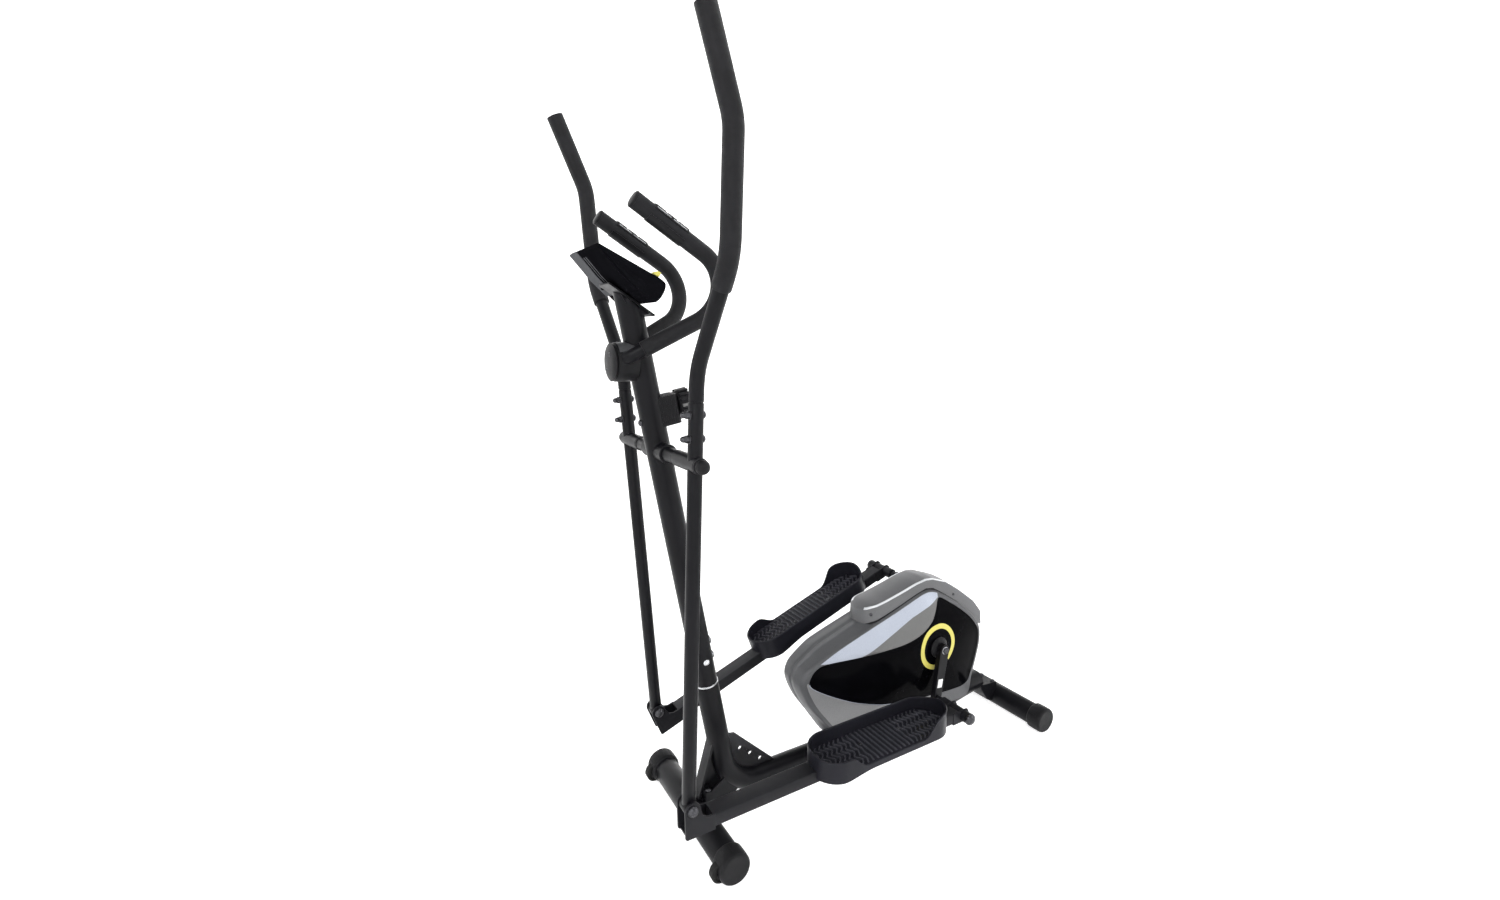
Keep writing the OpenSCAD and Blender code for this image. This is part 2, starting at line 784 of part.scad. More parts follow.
module lower_arm(side) {
    color("#19191b") arm_place(side) difference() {
        union() {
            rod([0, 0, -arm_len], [0, 0, lower_top], arm_r, arm_r - 1);
            y_rod(0, hub_in - arm_y, 0, hub_out - hub_in, hub_r);
            y_rod(0, -arm_r + 0.6, -arm_len, 2 * arm_r - 1.2, 15);
        }
        y_ring_cut(0, hub_in - arm_y - 1, 0, hub_out - hub_in + 2, bush_r + 0.08);
        y_ring_cut(0, -arm_r - 1, -arm_len, 2 * arm_r + 2, joint_r + fit);
    }
}

upper_path = [[0, 0, upper_from], [0, 0, 165], [4, tip[1], 345], [4, tip[1], 545], tip];
upper_bends = [110, 110, 110];
module upper_arm(side) {
    color("#19191b") arm_place(side) {
        rod([0, 0, spigot_from], [0, 0, upper_from + 1], arm_r - 1 - gap);
        bent_pipe(upper_path, upper_bends, arm_r, arm_r - 1.5);
    }
}

grip_start = upper_path[1] + (grip_from - upper_path[1][2]) / (upper_path[2][2] - upper_path[1][2])
    * (upper_path[2] - upper_path[1]);
module grip(side) {
    end = unit(tip - upper_path[3]);
    color("#111112") arm_place(side) {
        bent_pipe([grip_start, upper_path[2], upper_path[3], tip], [110, 110], grip_r, arm_r + gap);
        rod(tip + gap * end, tip + 4 * end, grip_r);
    }
}

module arm_bolts(side) {
    color("#8f9195") arm_place(side) difference() {
        for (z = [46, 89]) {
            orient([-arm_r + 2, 0, z], [-1, 0, 0]) dome(7.5, 7);
            orient([arm_r - 2, 0, z], [1, 0, 0]) {
                cylinder(h = 10.5, r = 6);
                translate([0, 0, 10.4]) dome(5.5, 5);
            }
        }
        rod([0, 0, 30], [0, 0, lower_top - 4], arm_r + fit);
    }
}

// ---------- pedal bars ----------

// Bar frame: origin on the lower joint's axis, +X to the front along the bar
module bar_place(side) {
    j = joint_of(side);
    translate([j[0], 0, j[1]]) rotate([0, bar_angle(side), 0]) mirror_y(side) children();
}

module pedal_bar(side) {
    bar_y = bar_in + bar_w / 2;
    color("#1f1f21") bar_place(side) difference() {
        union() {
            difference() {
                translate([-pin_along - 8, bar_in, -bar_drop - bar_h / 2]) cube([pin_along - 20, bar_w, bar_h]);
                translate([-pin_along + 22, bar_in + 2, -bar_drop - bar_h / 2 + 2])
                    cube([pin_along - 52, bar_w - 4, bar_h - 4]);
            }
            for (y = [bar_in, bar_in + bar_w - clevis_t]) clevis_leg(y);
            y_rod(-pin_along, sleeve_in, -pin_drop, sleeve_out - sleeve_in, sleeve_r);
            for (s = [380, 560]) translate([-s - 20, pedal_in + 8, -bar_drop + bar_h / 2 - 5])
                cube([40, pedal_w - 16, 5]);
        }
        y_ring_cut(0, bar_in - 1, 0, bar_w + 2, joint_r + gap);
    }
}

module clevis_leg(y) {
    hull() {
        translate([0, y, 0]) rotate([-90, 0, 0]) cylinder(h = clevis_t, r = 17, $fn = 32);
        translate([-42, y, -bar_drop - bar_h / 2]) cube([56, clevis_t, bar_h]);
    }
}

module joint_bolt(side) {
    color("#9fa2a6") bar_place(side) {
        y_rod(0, bar_in - 0.3, 0, bar_w + 0.6, joint_r);
        orient([0, bar_in + bar_w + gap, 0], [0, 1, 0]) dome(11, 8);
        orient([0, bar_in - gap, 0], [0, -1, 0]) dome(10, 7);
        orient([-pin_along, sleeve_out + gap, -pin_drop], [0, 1, 0]) dome(sleeve_r - 1, 7);
    }
}

// Plan of a pedal in the bar frame: a slot shape with round ends
module pedal_plan(inset) {
    r = pedal_w / 2 - inset;
    for (s = [pedal_start + pedal_w / 2, pedal_start + pedal_len - pedal_w / 2])
        translate([-s, pedal_mid]) circle(r, $fn = 64);
    translate([-(pedal_start + pedal_len - pedal_w / 2), pedal_mid - r])
        square([pedal_len - pedal_w, 2 * r]);
}

module pedal(side) {
    base = -bar_drop + bar_h / 2 + gap;
    wall = 5;
    color("#1b1b1e") bar_place(side) difference() {
        translate([0, 0, base - 9]) linear_extrude(pedal_rim - base + 9) pedal_plan(0);
        translate([0, 0, tread_t]) linear_extrude(pedal_wall + 1) pedal_plan(wall);
        translate([0, 0, base - 10]) linear_extrude(10) pedal_plan(wall);
        translate([-pedal_open[1], pedal_mid, tread_t]) cube([pedal_open[1] - pedal_open[0], pedal_w, pedal_wall + 1]);
        for (i = [0 : 16]) translate([-pedal_open[1] + 4 + 12 * i, pedal_mid - 46, tread_t - 1])
            cube([5, 92, 3]);
        translate([-pin_along, bar_in - 1, base - 11]) cube([pin_along, bar_w + 2, 11]);
    }
}

module pedal_screws(side) {
    color("#0e0e0f") bar_place(side) for (s = [430, 545])
        translate([-s, pedal_mid - 8, tread_t + gap]) cylinder(h = 1.6, r = 4.5);
}

main_frame();
stabiliser(front_x, front_half);  // front_stabiliser
stabiliser(-rear_x, rear_half);  // rear_stabiliser
front_caps();
rear_caps();
stabiliser_bolts();
wheel_pins();
transport_wheel(1);  // transport_wheel_left
transport_wheel(-1);  // transport_wheel_right
post();
post_bolts();
pivot_axle();
pivot_bushes();
axle_caps();
fixed_handlebar();
handlebar_foam();
pulse_sensors();
handlebar_plugs();
clamp_cover();
console_bracket();
console_body();
console_screen();
mode_button();
tension_housing();
tension_knob();
housing_left();
housing_right();
housing_cover();
side_panel(1);  // side_panel_left
side_panel(-1);  // side_panel_right
housing_screws();
crank_bearings();
crank_axle();
crank_arm(1);  // crank_arm_left
crank_arm(-1);  // crank_arm_right
crank_discs();
drive_pulley();
drive_belt();
flywheel();
flywheel_pulley();
flywheel_axle();
magnet_bracket();
brake_magnets();
lower_arm(1);  // lower_arm_left
upper_arm(1);  // upper_arm_left
grip(1);  // grip_left
arm_bolts(1);  // arm_bolts_left
lower_arm(-1);  // lower_arm_right
upper_arm(-1);  // upper_arm_right
grip(-1);  // grip_right
arm_bolts(-1);  // arm_bolts_right
pedal_bar(1);  // pedal_bar_left
pedal(1);  // pedal_left
joint_bolt(1);  // joint_bolt_left
pedal_screws(1);  // pedal_screws_left
pedal_bar(-1);  // pedal_bar_right
pedal(-1);  // pedal_right
joint_bolt(-1);  // joint_bolt_right
pedal_screws(-1);  // pedal_screws_right
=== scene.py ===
import json
from math import acos, atan2, cos, hypot, pi, radians, sin, sqrt, tan

import bmesh
import bpy
from mathutils import Matrix, Vector
from mathutils.geometry import tessellate_polygon


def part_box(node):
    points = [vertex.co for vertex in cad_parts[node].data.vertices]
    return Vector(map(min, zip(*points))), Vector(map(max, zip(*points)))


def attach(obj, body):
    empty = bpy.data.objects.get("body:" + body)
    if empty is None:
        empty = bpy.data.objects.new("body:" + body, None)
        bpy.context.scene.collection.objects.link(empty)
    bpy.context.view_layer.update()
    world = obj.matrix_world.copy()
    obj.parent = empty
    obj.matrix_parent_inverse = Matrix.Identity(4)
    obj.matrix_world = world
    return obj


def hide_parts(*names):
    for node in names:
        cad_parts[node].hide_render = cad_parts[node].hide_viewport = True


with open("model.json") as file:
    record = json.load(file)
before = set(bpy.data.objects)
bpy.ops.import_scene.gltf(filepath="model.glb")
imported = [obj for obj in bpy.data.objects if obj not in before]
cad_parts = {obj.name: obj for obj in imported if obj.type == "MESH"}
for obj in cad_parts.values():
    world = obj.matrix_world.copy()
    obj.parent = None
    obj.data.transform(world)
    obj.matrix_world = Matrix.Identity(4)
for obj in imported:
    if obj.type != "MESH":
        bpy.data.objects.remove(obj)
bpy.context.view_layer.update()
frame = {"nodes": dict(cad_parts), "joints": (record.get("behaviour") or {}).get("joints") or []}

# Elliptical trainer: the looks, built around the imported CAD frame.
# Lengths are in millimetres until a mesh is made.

MM = 0.001
SIDES = {"left": 1, "right": -1}


# ---------- where things are ----------

def joint_at(name):
    """A joint's place in millimetres."""
    joint = next(j for j in frame["joints"] if j["name"] == name)
    return Vector(joint["pos_m"]) / MM


PIVOT = joint_at("left_arm_swing")
CRANK = joint_at("crank_turn")
POST_LEAN = 10.6
CRANK_R = 132
CRANK_REST = radians(-7.5)
ARM_Y = 170
BAR_DROP = 40
BAR_LEN = 744
PIN_BACK = sqrt(BAR_LEN ** 2 - BAR_DROP ** 2)


def on_post(z):
    """A point on the leaning post's centre line."""
    return Vector((PIVOT.x + (z - PIVOT.z) * tan(radians(POST_LEAN)), 0, z))


def leaning(origin, turn=0.0, side=1):
    """A frame that leans by turn degrees about Y; side -1 mirrors it to the user's right."""
    spin = Matrix.Rotation(radians(turn), 4, "Y")
    return Matrix.Translation((origin[0], 0, origin[2])) @ spin @ Matrix.Diagonal((1, side, 1, 1))


def crank_pin(side):
    return Vector((CRANK.x - side * CRANK_R * sin(CRANK_REST), 0, CRANK.z - side * CRANK_R * cos(CRANK_REST)))


def arm_frame(name):
    """Origin on the arm's pivot at its own side, +Z up along the lower arm."""
    lower = joint_at(name + "_bar_pivot")
    lean = atan2(PIVOT.x - lower.x, PIVOT.z - lower.z) / pi * 180
    return leaning(PIVOT, lean, SIDES[name]) @ Matrix.Translation((0, ARM_Y, 0))


def bar_frame(name):
    """Origin on the lower joint's axis, -X to the rear along the pedal bar, +Y outward."""
    lower = joint_at(name + "_bar_pivot")
    pin = crank_pin(SIDES[name])
    slope = atan2(pin.z - lower.z, lower.x - pin.x) + atan2(BAR_DROP, PIN_BACK)
    return leaning(lower, slope / pi * 180, SIDES[name])


def facing(origin, z_dir, x_hint=(1, 0, 0)):
    """A frame at origin with +Z along z_dir."""
    z = Vector(z_dir).normalized()
    x = Vector(x_hint) - Vector(x_hint).dot(z) * z
    if x.length < 0.01:
        x = Vector((0, 1, 0)) - z.y * z
    x.normalize()
    y = z.cross(x)
    return Matrix.Translation(origin) @ Matrix((x, y, z)).transposed().to_4x4()


def turned(turn, axis="Z"):
    return Matrix.Rotation(radians(turn), 4, axis)


def moved(x, y, z):
    return Matrix.Translation((x, y, z))


MIRROR = Matrix.Diagonal((1, -1, 1, 1))
HERE = Matrix()


# ---------- mesh shapes: each returns (points, faces) ----------

def loft(rings, closed=False, caps=True):
    """Rings of equal length joined into a skin."""
    count = len(rings[0])
    points = [p for ring in rings for p in ring]
    faces = []
    last = len(rings) if closed else len(rings) - 1
    for i in range(last):
        for k in range(count):
            a, b = i * count + k, i * count + (k + 1) % count
            shift = ((i + 1) % len(rings)) * count
            faces.append((a, b, shift + (k + 1) % count, shift + k))
    if caps and not closed:
        faces.append(tuple(range(count))[::-1])
        faces.append(tuple((len(rings) - 1) * count + k for k in range(count)))
    return points, faces


def route(corners, bends, step=6):
    """A path through corners with one bend radius for each inner corner, as points."""
    corners = [Vector(c) for c in corners]
    path = [corners[0]]
    for before, here, after, radius in zip(corners, corners[1:], corners[2:], bends):
        d_in, d_out = (here - before).normalized(), (after - here).normalized()
        turn = acos(max(-1, min(1, d_in.dot(d_out))))
        if turn < 1e-4:
            continue
        run = radius * tan(turn / 2)
        side = (d_out - d_out.dot(d_in) * d_in).normalized()
        centre = here - run * d_in + radius * side
        count = max(3, int(turn / radians(step)))
        for i in range(count + 1):
            a = turn * i / count
            path.append(centre + radius * (sin(a) * d_in - cos(a) * side))
    path.append(corners[-1])
    return path


def tube(path, r, segments=40, soft=1.0):
    """A round bar along a path, its end edges softened."""
    path = [Vector(p) for p in path]
    start = (path[1] - path[0]).normalized()
    end = (path[-1] - path[-2]).normalized()
    edge = ((0, 1), (0.3, 0.3), (1, 0))
    stations = [(path[0] + run * soft * start, r - cut * soft) for run, cut in edge]
    stations += [(p, r) for p in path[1:-1]]
    stations += [(path[-1] - run * soft * end, r - cut * soft) for run, cut in edge[::-1]]
    up = Vector((0, 0, 1)) if abs(start.z) < 0.9 else Vector((1, 0, 0))
    rings = []
    for i, (p, radius) in enumerate(stations):
        ahead = stations[min(i + 1, len(stations) - 1)][0] - stations[max(i - 1, 0)][0]
        d = ahead.normalized()
        up = (up - up.dot(d) * d).normalized()
        across = d.cross(up)
        rings.append([p + radius * (cos(2 * pi * k / segments) * up + sin(2 * pi * k / segments) * across)
                      for k in range(segments)])
    return loft(rings)


def ring(r, h, count):
    """Points evenly round the Z axis."""
    return [Vector((r * cos(2 * pi * k / count), r * sin(2 * pi * k / count), h)) for k in range(count)]


def lathe(profile, segments=48):
    """A profile of (radius, height) points turned about Z; a radius of 0 closes an end."""
    rings, ends = [], {}
    for i, (r, h) in enumerate(profile):
        if r <= 0:
            ends[i] = h
        else:
            rings.append(ring(r, h, segments))
    points, faces = loft(rings, caps=False)
    last = (len(rings) - 1) * segments
    for i, h in ends.items():
        points.append(Vector((0, 0, h)))
        tip = len(points) - 1
        for k in range(segments):
            if i == 0:
                faces.append((tip, (k + 1) % segments, k))
            else:
                faces.append((tip, last + k, last + (k + 1) % segments))
    if len(ends) == 0:
        faces += [(last + k, last + (k + 1) % segments, (k + 1) % segments, k) for k in range(segments)]
    return points, faces


def disc(r, h, soft=0.6, segments=48, base=0.0):
    """A solid turned disc from height base to base + h with softened edges."""
    top = base + h
    return lathe([(0, base), (r - soft, base), (r - 0.3 * soft, base + 0.3 * soft), (r, base + soft),
                  (r, top - soft), (r - 0.3 * soft, top - 0.3 * soft), (r - soft, top), (0, top)], segments)


def collar(r, hole, h, soft=0.6, segments=48, base=0.0):
    """A turned ring with softened edges."""
    top = base + h
    return lathe([(hole, base + soft), (hole + soft, base), (r - soft, base), (r, base + soft),
                  (r, top - soft), (r - soft, top), (hole + soft, top), (hole, top - soft)], segments)


def domed(r, h, lip=1.0):
    """A domed bolt head on a short straight lip."""
    ball = (r * r + h * h) / (2 * h)
    arc = [(sqrt(max(ball ** 2 - (ball - h + t) ** 2, 0)), lip + t) for t in [h * i / 7 for i in range(7)]]
    return lathe([(0, -1), (r * 0.98, -1), (r, 0)] + [(q, t) for q, t in arc] + [(0, lip + h)], 32)


def prism(outline, low, high, holes=()):
    """A flat plate: an outline in XY with holes, from low to high along Z."""
    loops = [[Vector((p[0], p[1], 0)) for p in loop] for loop in (outline, *holes)]
    flat = [p for loop in loops for p in loop]
    count = len(flat)
    points = [Vector((p.x, p.y, low)) for p in flat] + [Vector((p.x, p.y, high)) for p in flat]
    faces = []
    for a, b, c in tessellate_polygon(loops):
        if (flat[b] - flat[a]).cross(flat[c] - flat[a]).z < 0:
            b, c = c, b
        faces += [(a, c, b), (a + count, b + count, c + count)]
    first = 0
    for index, loop in enumerate(loops):
        area = sum(p.x * q.y - q.x * p.y for p, q in zip(loop, loop[1:] + loop[:1]))
        forward = (area > 0) == (index == 0)
        for k in range(len(loop)):
            a, b = first + k, first + (k + 1) % len(loop)
            faces.append((a, b, b + count, a + count) if forward else (b, a, a + count, b + count))
        first += len(loop)
    return points, faces


def block(low, high):
    """A box from its lowest to its highest corner; its edges are bevelled by the piece."""
    (x0, y0, z0), (x1, y1, z1) = low, high
    return prism([(x0, y0), (x1, y0), (x1, y1), (x0, y1)], z0, z1)


def round_outline(w, d, r, steps=8):
    """A rectangle centred on the origin with round corners."""
    points = []
    for cx, cy, start in ((w / 2 - r, d / 2 - r, 0), (r - w / 2, d / 2 - r, 90), (r - w / 2, r - d / 2, 180),
                          (w / 2 - r, r - d / 2, 270)):
        for i in range(steps + 1):
            a = radians(start + 90 * i / steps)
            points.append((cx + r * cos(a), cy + r * sin(a)))
    return points


def circle_outline(x, y, r, count=28):
    return [(x + r * cos(2 * pi * k / count), y + r * sin(2 * pi * k / count)) for k in range(count)]


SIDE_VIEW = Matrix(((1, 0, 0, 0), (0, 0, -1, 0), (0, 1, 0, 0), (0, 0, 0, 1)))


class Piece:
    """Collects mesh shapes in millimetres and turns them into one object."""

    def __init__(self, name, *materials):
        self.name = name
        self.materials = [MAT[material] for material in materials]
        self.mesh = bmesh.new()

    def add(self, shape, at=HERE, material=0):
        points, faces = shape
        made = [self.mesh.verts.new((at @ Vector(p)) * MM) for p in points]
        flip = at.determinant() < 0
        for loop in faces:
            corners = [made[i] for i in loop]
            face = self.mesh.faces.new(corners[::-1] if flip else corners)
            face.material_index = material
            face.smooth = True
        return self

    def both(self, shape, at=HERE, material=0):
        """Adds a shape and its mirror image on the other side of the machine."""
        return self.add(shape, at, material).add(shape, MIRROR @ at, material)

    def plate(self, outline, y0, y1, at=HERE, holes=()):
        """Adds a plate drawn in side view as (x, z), from y0 to y1."""
        return self.add(prism(outline, -y1, -y0, holes), at @ SIDE_VIEW)

    def done(self, body, slot, *nodes, bevel=0.0, sharp=35, weld=0.0, outward=0):
        """Makes the object; it rides on body and stands for the CAD nodes."""
        if weld:
            bmesh.ops.remove_doubles(self.mesh, verts=self.mesh.verts, dist=weld * MM)
            bmesh.ops.recalc_face_normals(self.mesh, faces=self.mesh.faces)
            self.mesh.normal_update()
            lean = sum(f.normal.y * f.calc_area() for f in self.mesh.faces) * outward
            lean += sum(f.normal.z * f.calc_area() for f in self.mesh.faces) * (1 - abs(outward))
            if lean < 0:
                bmesh.ops.reverse_faces(self.mesh, faces=self.mesh.faces)
        data = bpy.data.meshes.new(self.name)
        self.mesh.to_mesh(data)
        self.mesh.free()
        for material in self.materials:
            data.materials.append(material)
        piece = bpy.data.objects.new(self.name, data)
        bpy.context.scene.collection.objects.link(piece)
        if bevel:
            edge = piece.modifiers.new("soft_edges", "BEVEL")
            edge.width = bevel * MM
            edge.segments = 2
            edge.limit_method = "ANGLE"
            edge.angle_limit = radians(38)
            edge.harden_normals = True
        data.set_sharp_from_angle(angle=radians(sharp))
        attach(piece, body)
        if nodes:
            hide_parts(*nodes)
        return piece


# ---------- materials ----------

class Surface:
    """A Principled material with small helpers for its noise, bump and wear."""

    def __init__(self, name, color, rough, metal=0.0):
        self.material = bpy.data.materials.new(name)
        self.material.use_nodes = True
        self.nodes = self.material.node_tree.nodes
        self.links = self.material.node_tree.links
        self.shader = self.nodes["Principled BSDF"]
        self.color = (*color, 1)
        self.set("Base Color", self.color)
        self.set("Roughness", rough)
        self.set("Metallic", metal)
        self.rough = rough
        self.bump = None

    def set(self, socket, value):
        self.shader.inputs[socket].default_value = value

    def node(self, kind, **values):
        made = self.nodes.new(kind)
        for key, value in values.items():
            if key in made.inputs:
                made.inputs[key].default_value = value
            else:
                setattr(made, key, value)
        return made

    def noise(self, scale, detail=3.0, stretch=(1, 1, 1)):
        place = self.node("ShaderNodeTexCoord")
        shape = self.node("ShaderNodeMapping")
        shape.inputs["Scale"].default_value = stretch
        self.links.new(place.outputs["Object"], shape.inputs["Vector"])
        field = self.node("ShaderNodeTexNoise", Scale=scale, Detail=detail)
        self.links.new(shape.outputs["Vector"], field.inputs["Vector"])
        return field.outputs["Fac"]

    def ramp(self, factor, low, high, start=0.35, stop=0.65):
        ramp = self.node("ShaderNodeValToRGB")
        ramp.color_ramp.elements[0].position = start
        ramp.color_ramp.elements[1].position = stop
        ramp.color_ramp.elements[0].color = low
        ramp.color_ramp.elements[1].color = high
        self.links.new(factor, ramp.inputs["Fac"])
        return ramp.outputs["Color"]

    def vary_color(self, scale, amount, stretch=(1, 1, 1)):
        low = tuple(c * (1 - amount) for c in self.color[:3]) + (1,)
        high = tuple(min(1, c * (1 + amount)) for c in self.color[:3]) + (1,)
        mixed = self.ramp(self.noise(scale, 4, stretch), low, high)
        self.links.new(mixed, self.shader.inputs["Base Color"])
        self.tint = mixed
        return self

    def wear(self, color, start=0.54, stop=0.62):
        """Edges rubbed to a lighter colour."""
        edges = self.node("ShaderNodeNewGeometry").outputs["Pointiness"]
        mask = self.ramp(edges, (0, 0, 0, 1), (1, 1, 1, 1), start, stop)
        mix = self.node("ShaderNodeMix", data_type="RGBA")
        self.links.new(mask, mix.inputs[0])
        self.links.new(self.tint, mix.inputs[6])
        mix.inputs[7].default_value = (*color, 1)
        self.links.new(mix.outputs[2], self.shader.inputs["Base Color"])
        return self

    def vary_rough(self, scale, amount, stretch=(1, 1, 1)):
        low, high = self.rough - amount, self.rough + amount
        mixed = self.ramp(self.noise(scale, 5, stretch), (low, low, low, 1), (high, high, high, 1), 0.3, 0.7)
        self.links.new(mixed, self.shader.inputs["Roughness"])
        return self

    def grain(self, scale, depth, strength=0.3, stretch=(1, 1, 1), cells=False):
        """Raised grain; depth in metres."""
        if cells:
            place = self.node("ShaderNodeTexCoord")
            field = self.node("ShaderNodeTexVoronoi", Scale=scale)
            self.links.new(place.outputs["Object"], field.inputs["Vector"])
            height = field.outputs["Distance"]
        else:
            height = self.noise(scale, 3, stretch)
        bump = self.node("ShaderNodeBump", Strength=strength, Distance=depth)
        self.links.new(height, bump.inputs["Height"])
        if self.bump:
            self.links.new(self.bump.outputs["Normal"], bump.inputs["Normal"])
        self.bump = bump
        self.links.new(bump.outputs["Normal"], self.shader.inputs["Normal"])
        return self


DARK_SHEEN = 0.12


def powder_coat(name, color=(0.004, 0.004, 0.0052), rough=0.34):
    made = Surface(name, color, rough).vary_color(7, 0.18).vary_rough(38, 0.05)
    made.grain(900, 0.0003, 0.18).wear((0.03, 0.03, 0.033), 0.56, 0.66)
    made.set("Specular IOR Level", DARK_SHEEN)
    return made.material


def moulded(name, color, rough, grain=0.25, fine=1500, spread=0.12, sheen=DARK_SHEEN):
    made = Surface(name, color, rough).vary_color(9, spread).vary_rough(60, 0.05)
    made.grain(fine, 0.0002, grain, cells=True).grain(60, 0.0006, 0.05)
    made.set("Specular IOR Level", sheen)
    return made.material


def foam(name):
    made = Surface(name, (0.005, 0.005, 0.0062), 0.55).vary_color(24, 0.3).vary_rough(120, 0.08)
    made.grain(1100, 0.0004, 0.5, cells=True).grain(260, 0.0005, 0.18)
    made.set("Specular IOR Level", 0.16)
    made.set("Sheen Weight", 0.03)
    made.set("Sheen Roughness", 0.5)
    return made.material


def painted_plastic(name, color, rough, metal, coat=0.15):
    """Metallic paint over moulded plastic: fine flakes, faint orange peel."""
    made = Surface(name, color, rough, metal).vary_color(1400, 0.16).vary_rough(30, 0.03)
    made.grain(170, 0.0003, 0.07)
    made.set("Specular IOR Level", 0.35)
    made.set("Coat Weight", coat)
    made.set("Coat Roughness", 0.25)
    return made.material


def gloss_plastic(name, color):
    made = Surface(name, color, 0.12).vary_color(12, 0.2).vary_rough(16, 0.03).grain(40, 0.0004, 0.03)
    made.set("Specular IOR Level", 0.012)
    return made.material


def bare_metal(name, color, rough, stretch=(1, 1, 1), brush=0.12):
    made = Surface(name, color, rough, 1.0).vary_color(30, 0.12).vary_rough(90, 0.08, stretch)
    made.grain(700, 0.0001, brush, stretch)
    return made.material


def printed(name, color):
    return Surface(name, color, 0.4).vary_color(300, 0.05).grain(900, 0.0001, 0.08).material


def make_materials():
    return {
        "coat": powder_coat("powder_coat_black"),
        "coat_bar": powder_coat("powder_coat_bars", (0.010, 0.010, 0.012), 0.4),
        "dark_plastic": moulded("moulded_black", (0.007, 0.007, 0.008), 0.44),
        "cap_plastic": moulded("moulded_caps", (0.008, 0.008, 0.009), 0.5, 0.35, 900),
        "pedal": moulded("moulded_pedal", (0.011, 0.011, 0.015), 0.36, 0.3, 1200),
        # painted highlight: the tread ribs are lighter than the pedal, standing in for the light their tops
        # catch
        "tread": moulded("tread_rib_painted_highlight", (0.042, 0.042, 0.05), 0.42, 0.2, 1200),
        "foam": foam("foam_sleeve"),
        "shell_dark": painted_plastic("shell_graphite", (0.062, 0.063, 0.067), 0.46, 0.2, 0.05),
        "shell_hump": painted_plastic("shell_hump_grey", (0.092, 0.093, 0.097), 0.4, 0.2, 0.05),
        # painted highlight: a light grey, half metal strip along the hump cover's upper side edges stands in
        # for the light its rounded edge catches
        "shell_painted_highlight": painted_plastic("shell_painted_edge_highlight", (0.62, 0.63, 0.65), 0.3, 0.5, 0.2),
        "shell_band": painted_plastic("shell_light_silver", (0.31, 0.335, 0.39), 0.34, 0.4, 0.1),
        "shell_wedge": painted_plastic("shell_mid_grey", (0.105, 0.105, 0.104), 0.4, 0.25, 0.05),
        "shell_silver": painted_plastic("shell_silver", (0.185, 0.186, 0.19), 0.42, 0.3, 0.05),
        "panel": gloss_plastic("panel_gloss_black", (0.0015, 0.0015, 0.002)),
        "yellow": printed("print_yellow", (0.52, 0.47, 0.085)),
        "white": printed("sticker_white", (0.8, 0.8, 0.8)),
        "bolt_black": bare_metal("bolt_black_oxide", (0.06, 0.06, 0.065), 0.3),
        "bolt": bare_metal("bolt_zinc", (0.55, 0.56, 0.58), 0.26),
        "steel": bare_metal("machined_steel", (0.5, 0.5, 0.52), 0.32, (1, 12, 1), 0.25),
        "iron": bare_metal("cast_iron", (0.16, 0.16, 0.17), 0.5),
        "pulse": bare_metal("pulse_plate", (0.62, 0.63, 0.65), 0.22, (1, 8, 1)),
        "console": moulded("console_black", (0.004, 0.004, 0.005), 0.36, 0.15, 1500, sheen=0.0),
        "console_grey": moulded("console_underside", (0.085, 0.087, 0.092), 0.45, 0.2, 1200, sheen=0.0),
        "screen": gloss_plastic("screen_glass", (0.035, 0.05, 0.045)),
        "belt": moulded("belt_rubber", (0.01, 0.01, 0.01), 0.7),
        "nylon": moulded("nylon_bush", (0.02, 0.02, 0.022), 0.45),
        "tyre": moulded("wheel_rubber", (0.012, 0.012, 0.012), 0.6, 0.3, 700),
    }


MAT = make_materials()


# ---------- frame and stabilisers ----------

MAIN_R = 26
MAIN_Z = 61
MAIN_END, MAIN_RISE = (-510, 0, MAIN_Z + 35), (-300, 0, MAIN_Z)
MAIN_BENDS = [260, 95]
POST_R = 25
RIM_Z = 342
REAR_SADDLE = [(-500, 77), (-500, 88), (-545, 84), (-566, 82), (-566, 62), (-555, 48), (-552, 26), (-530, 34)]


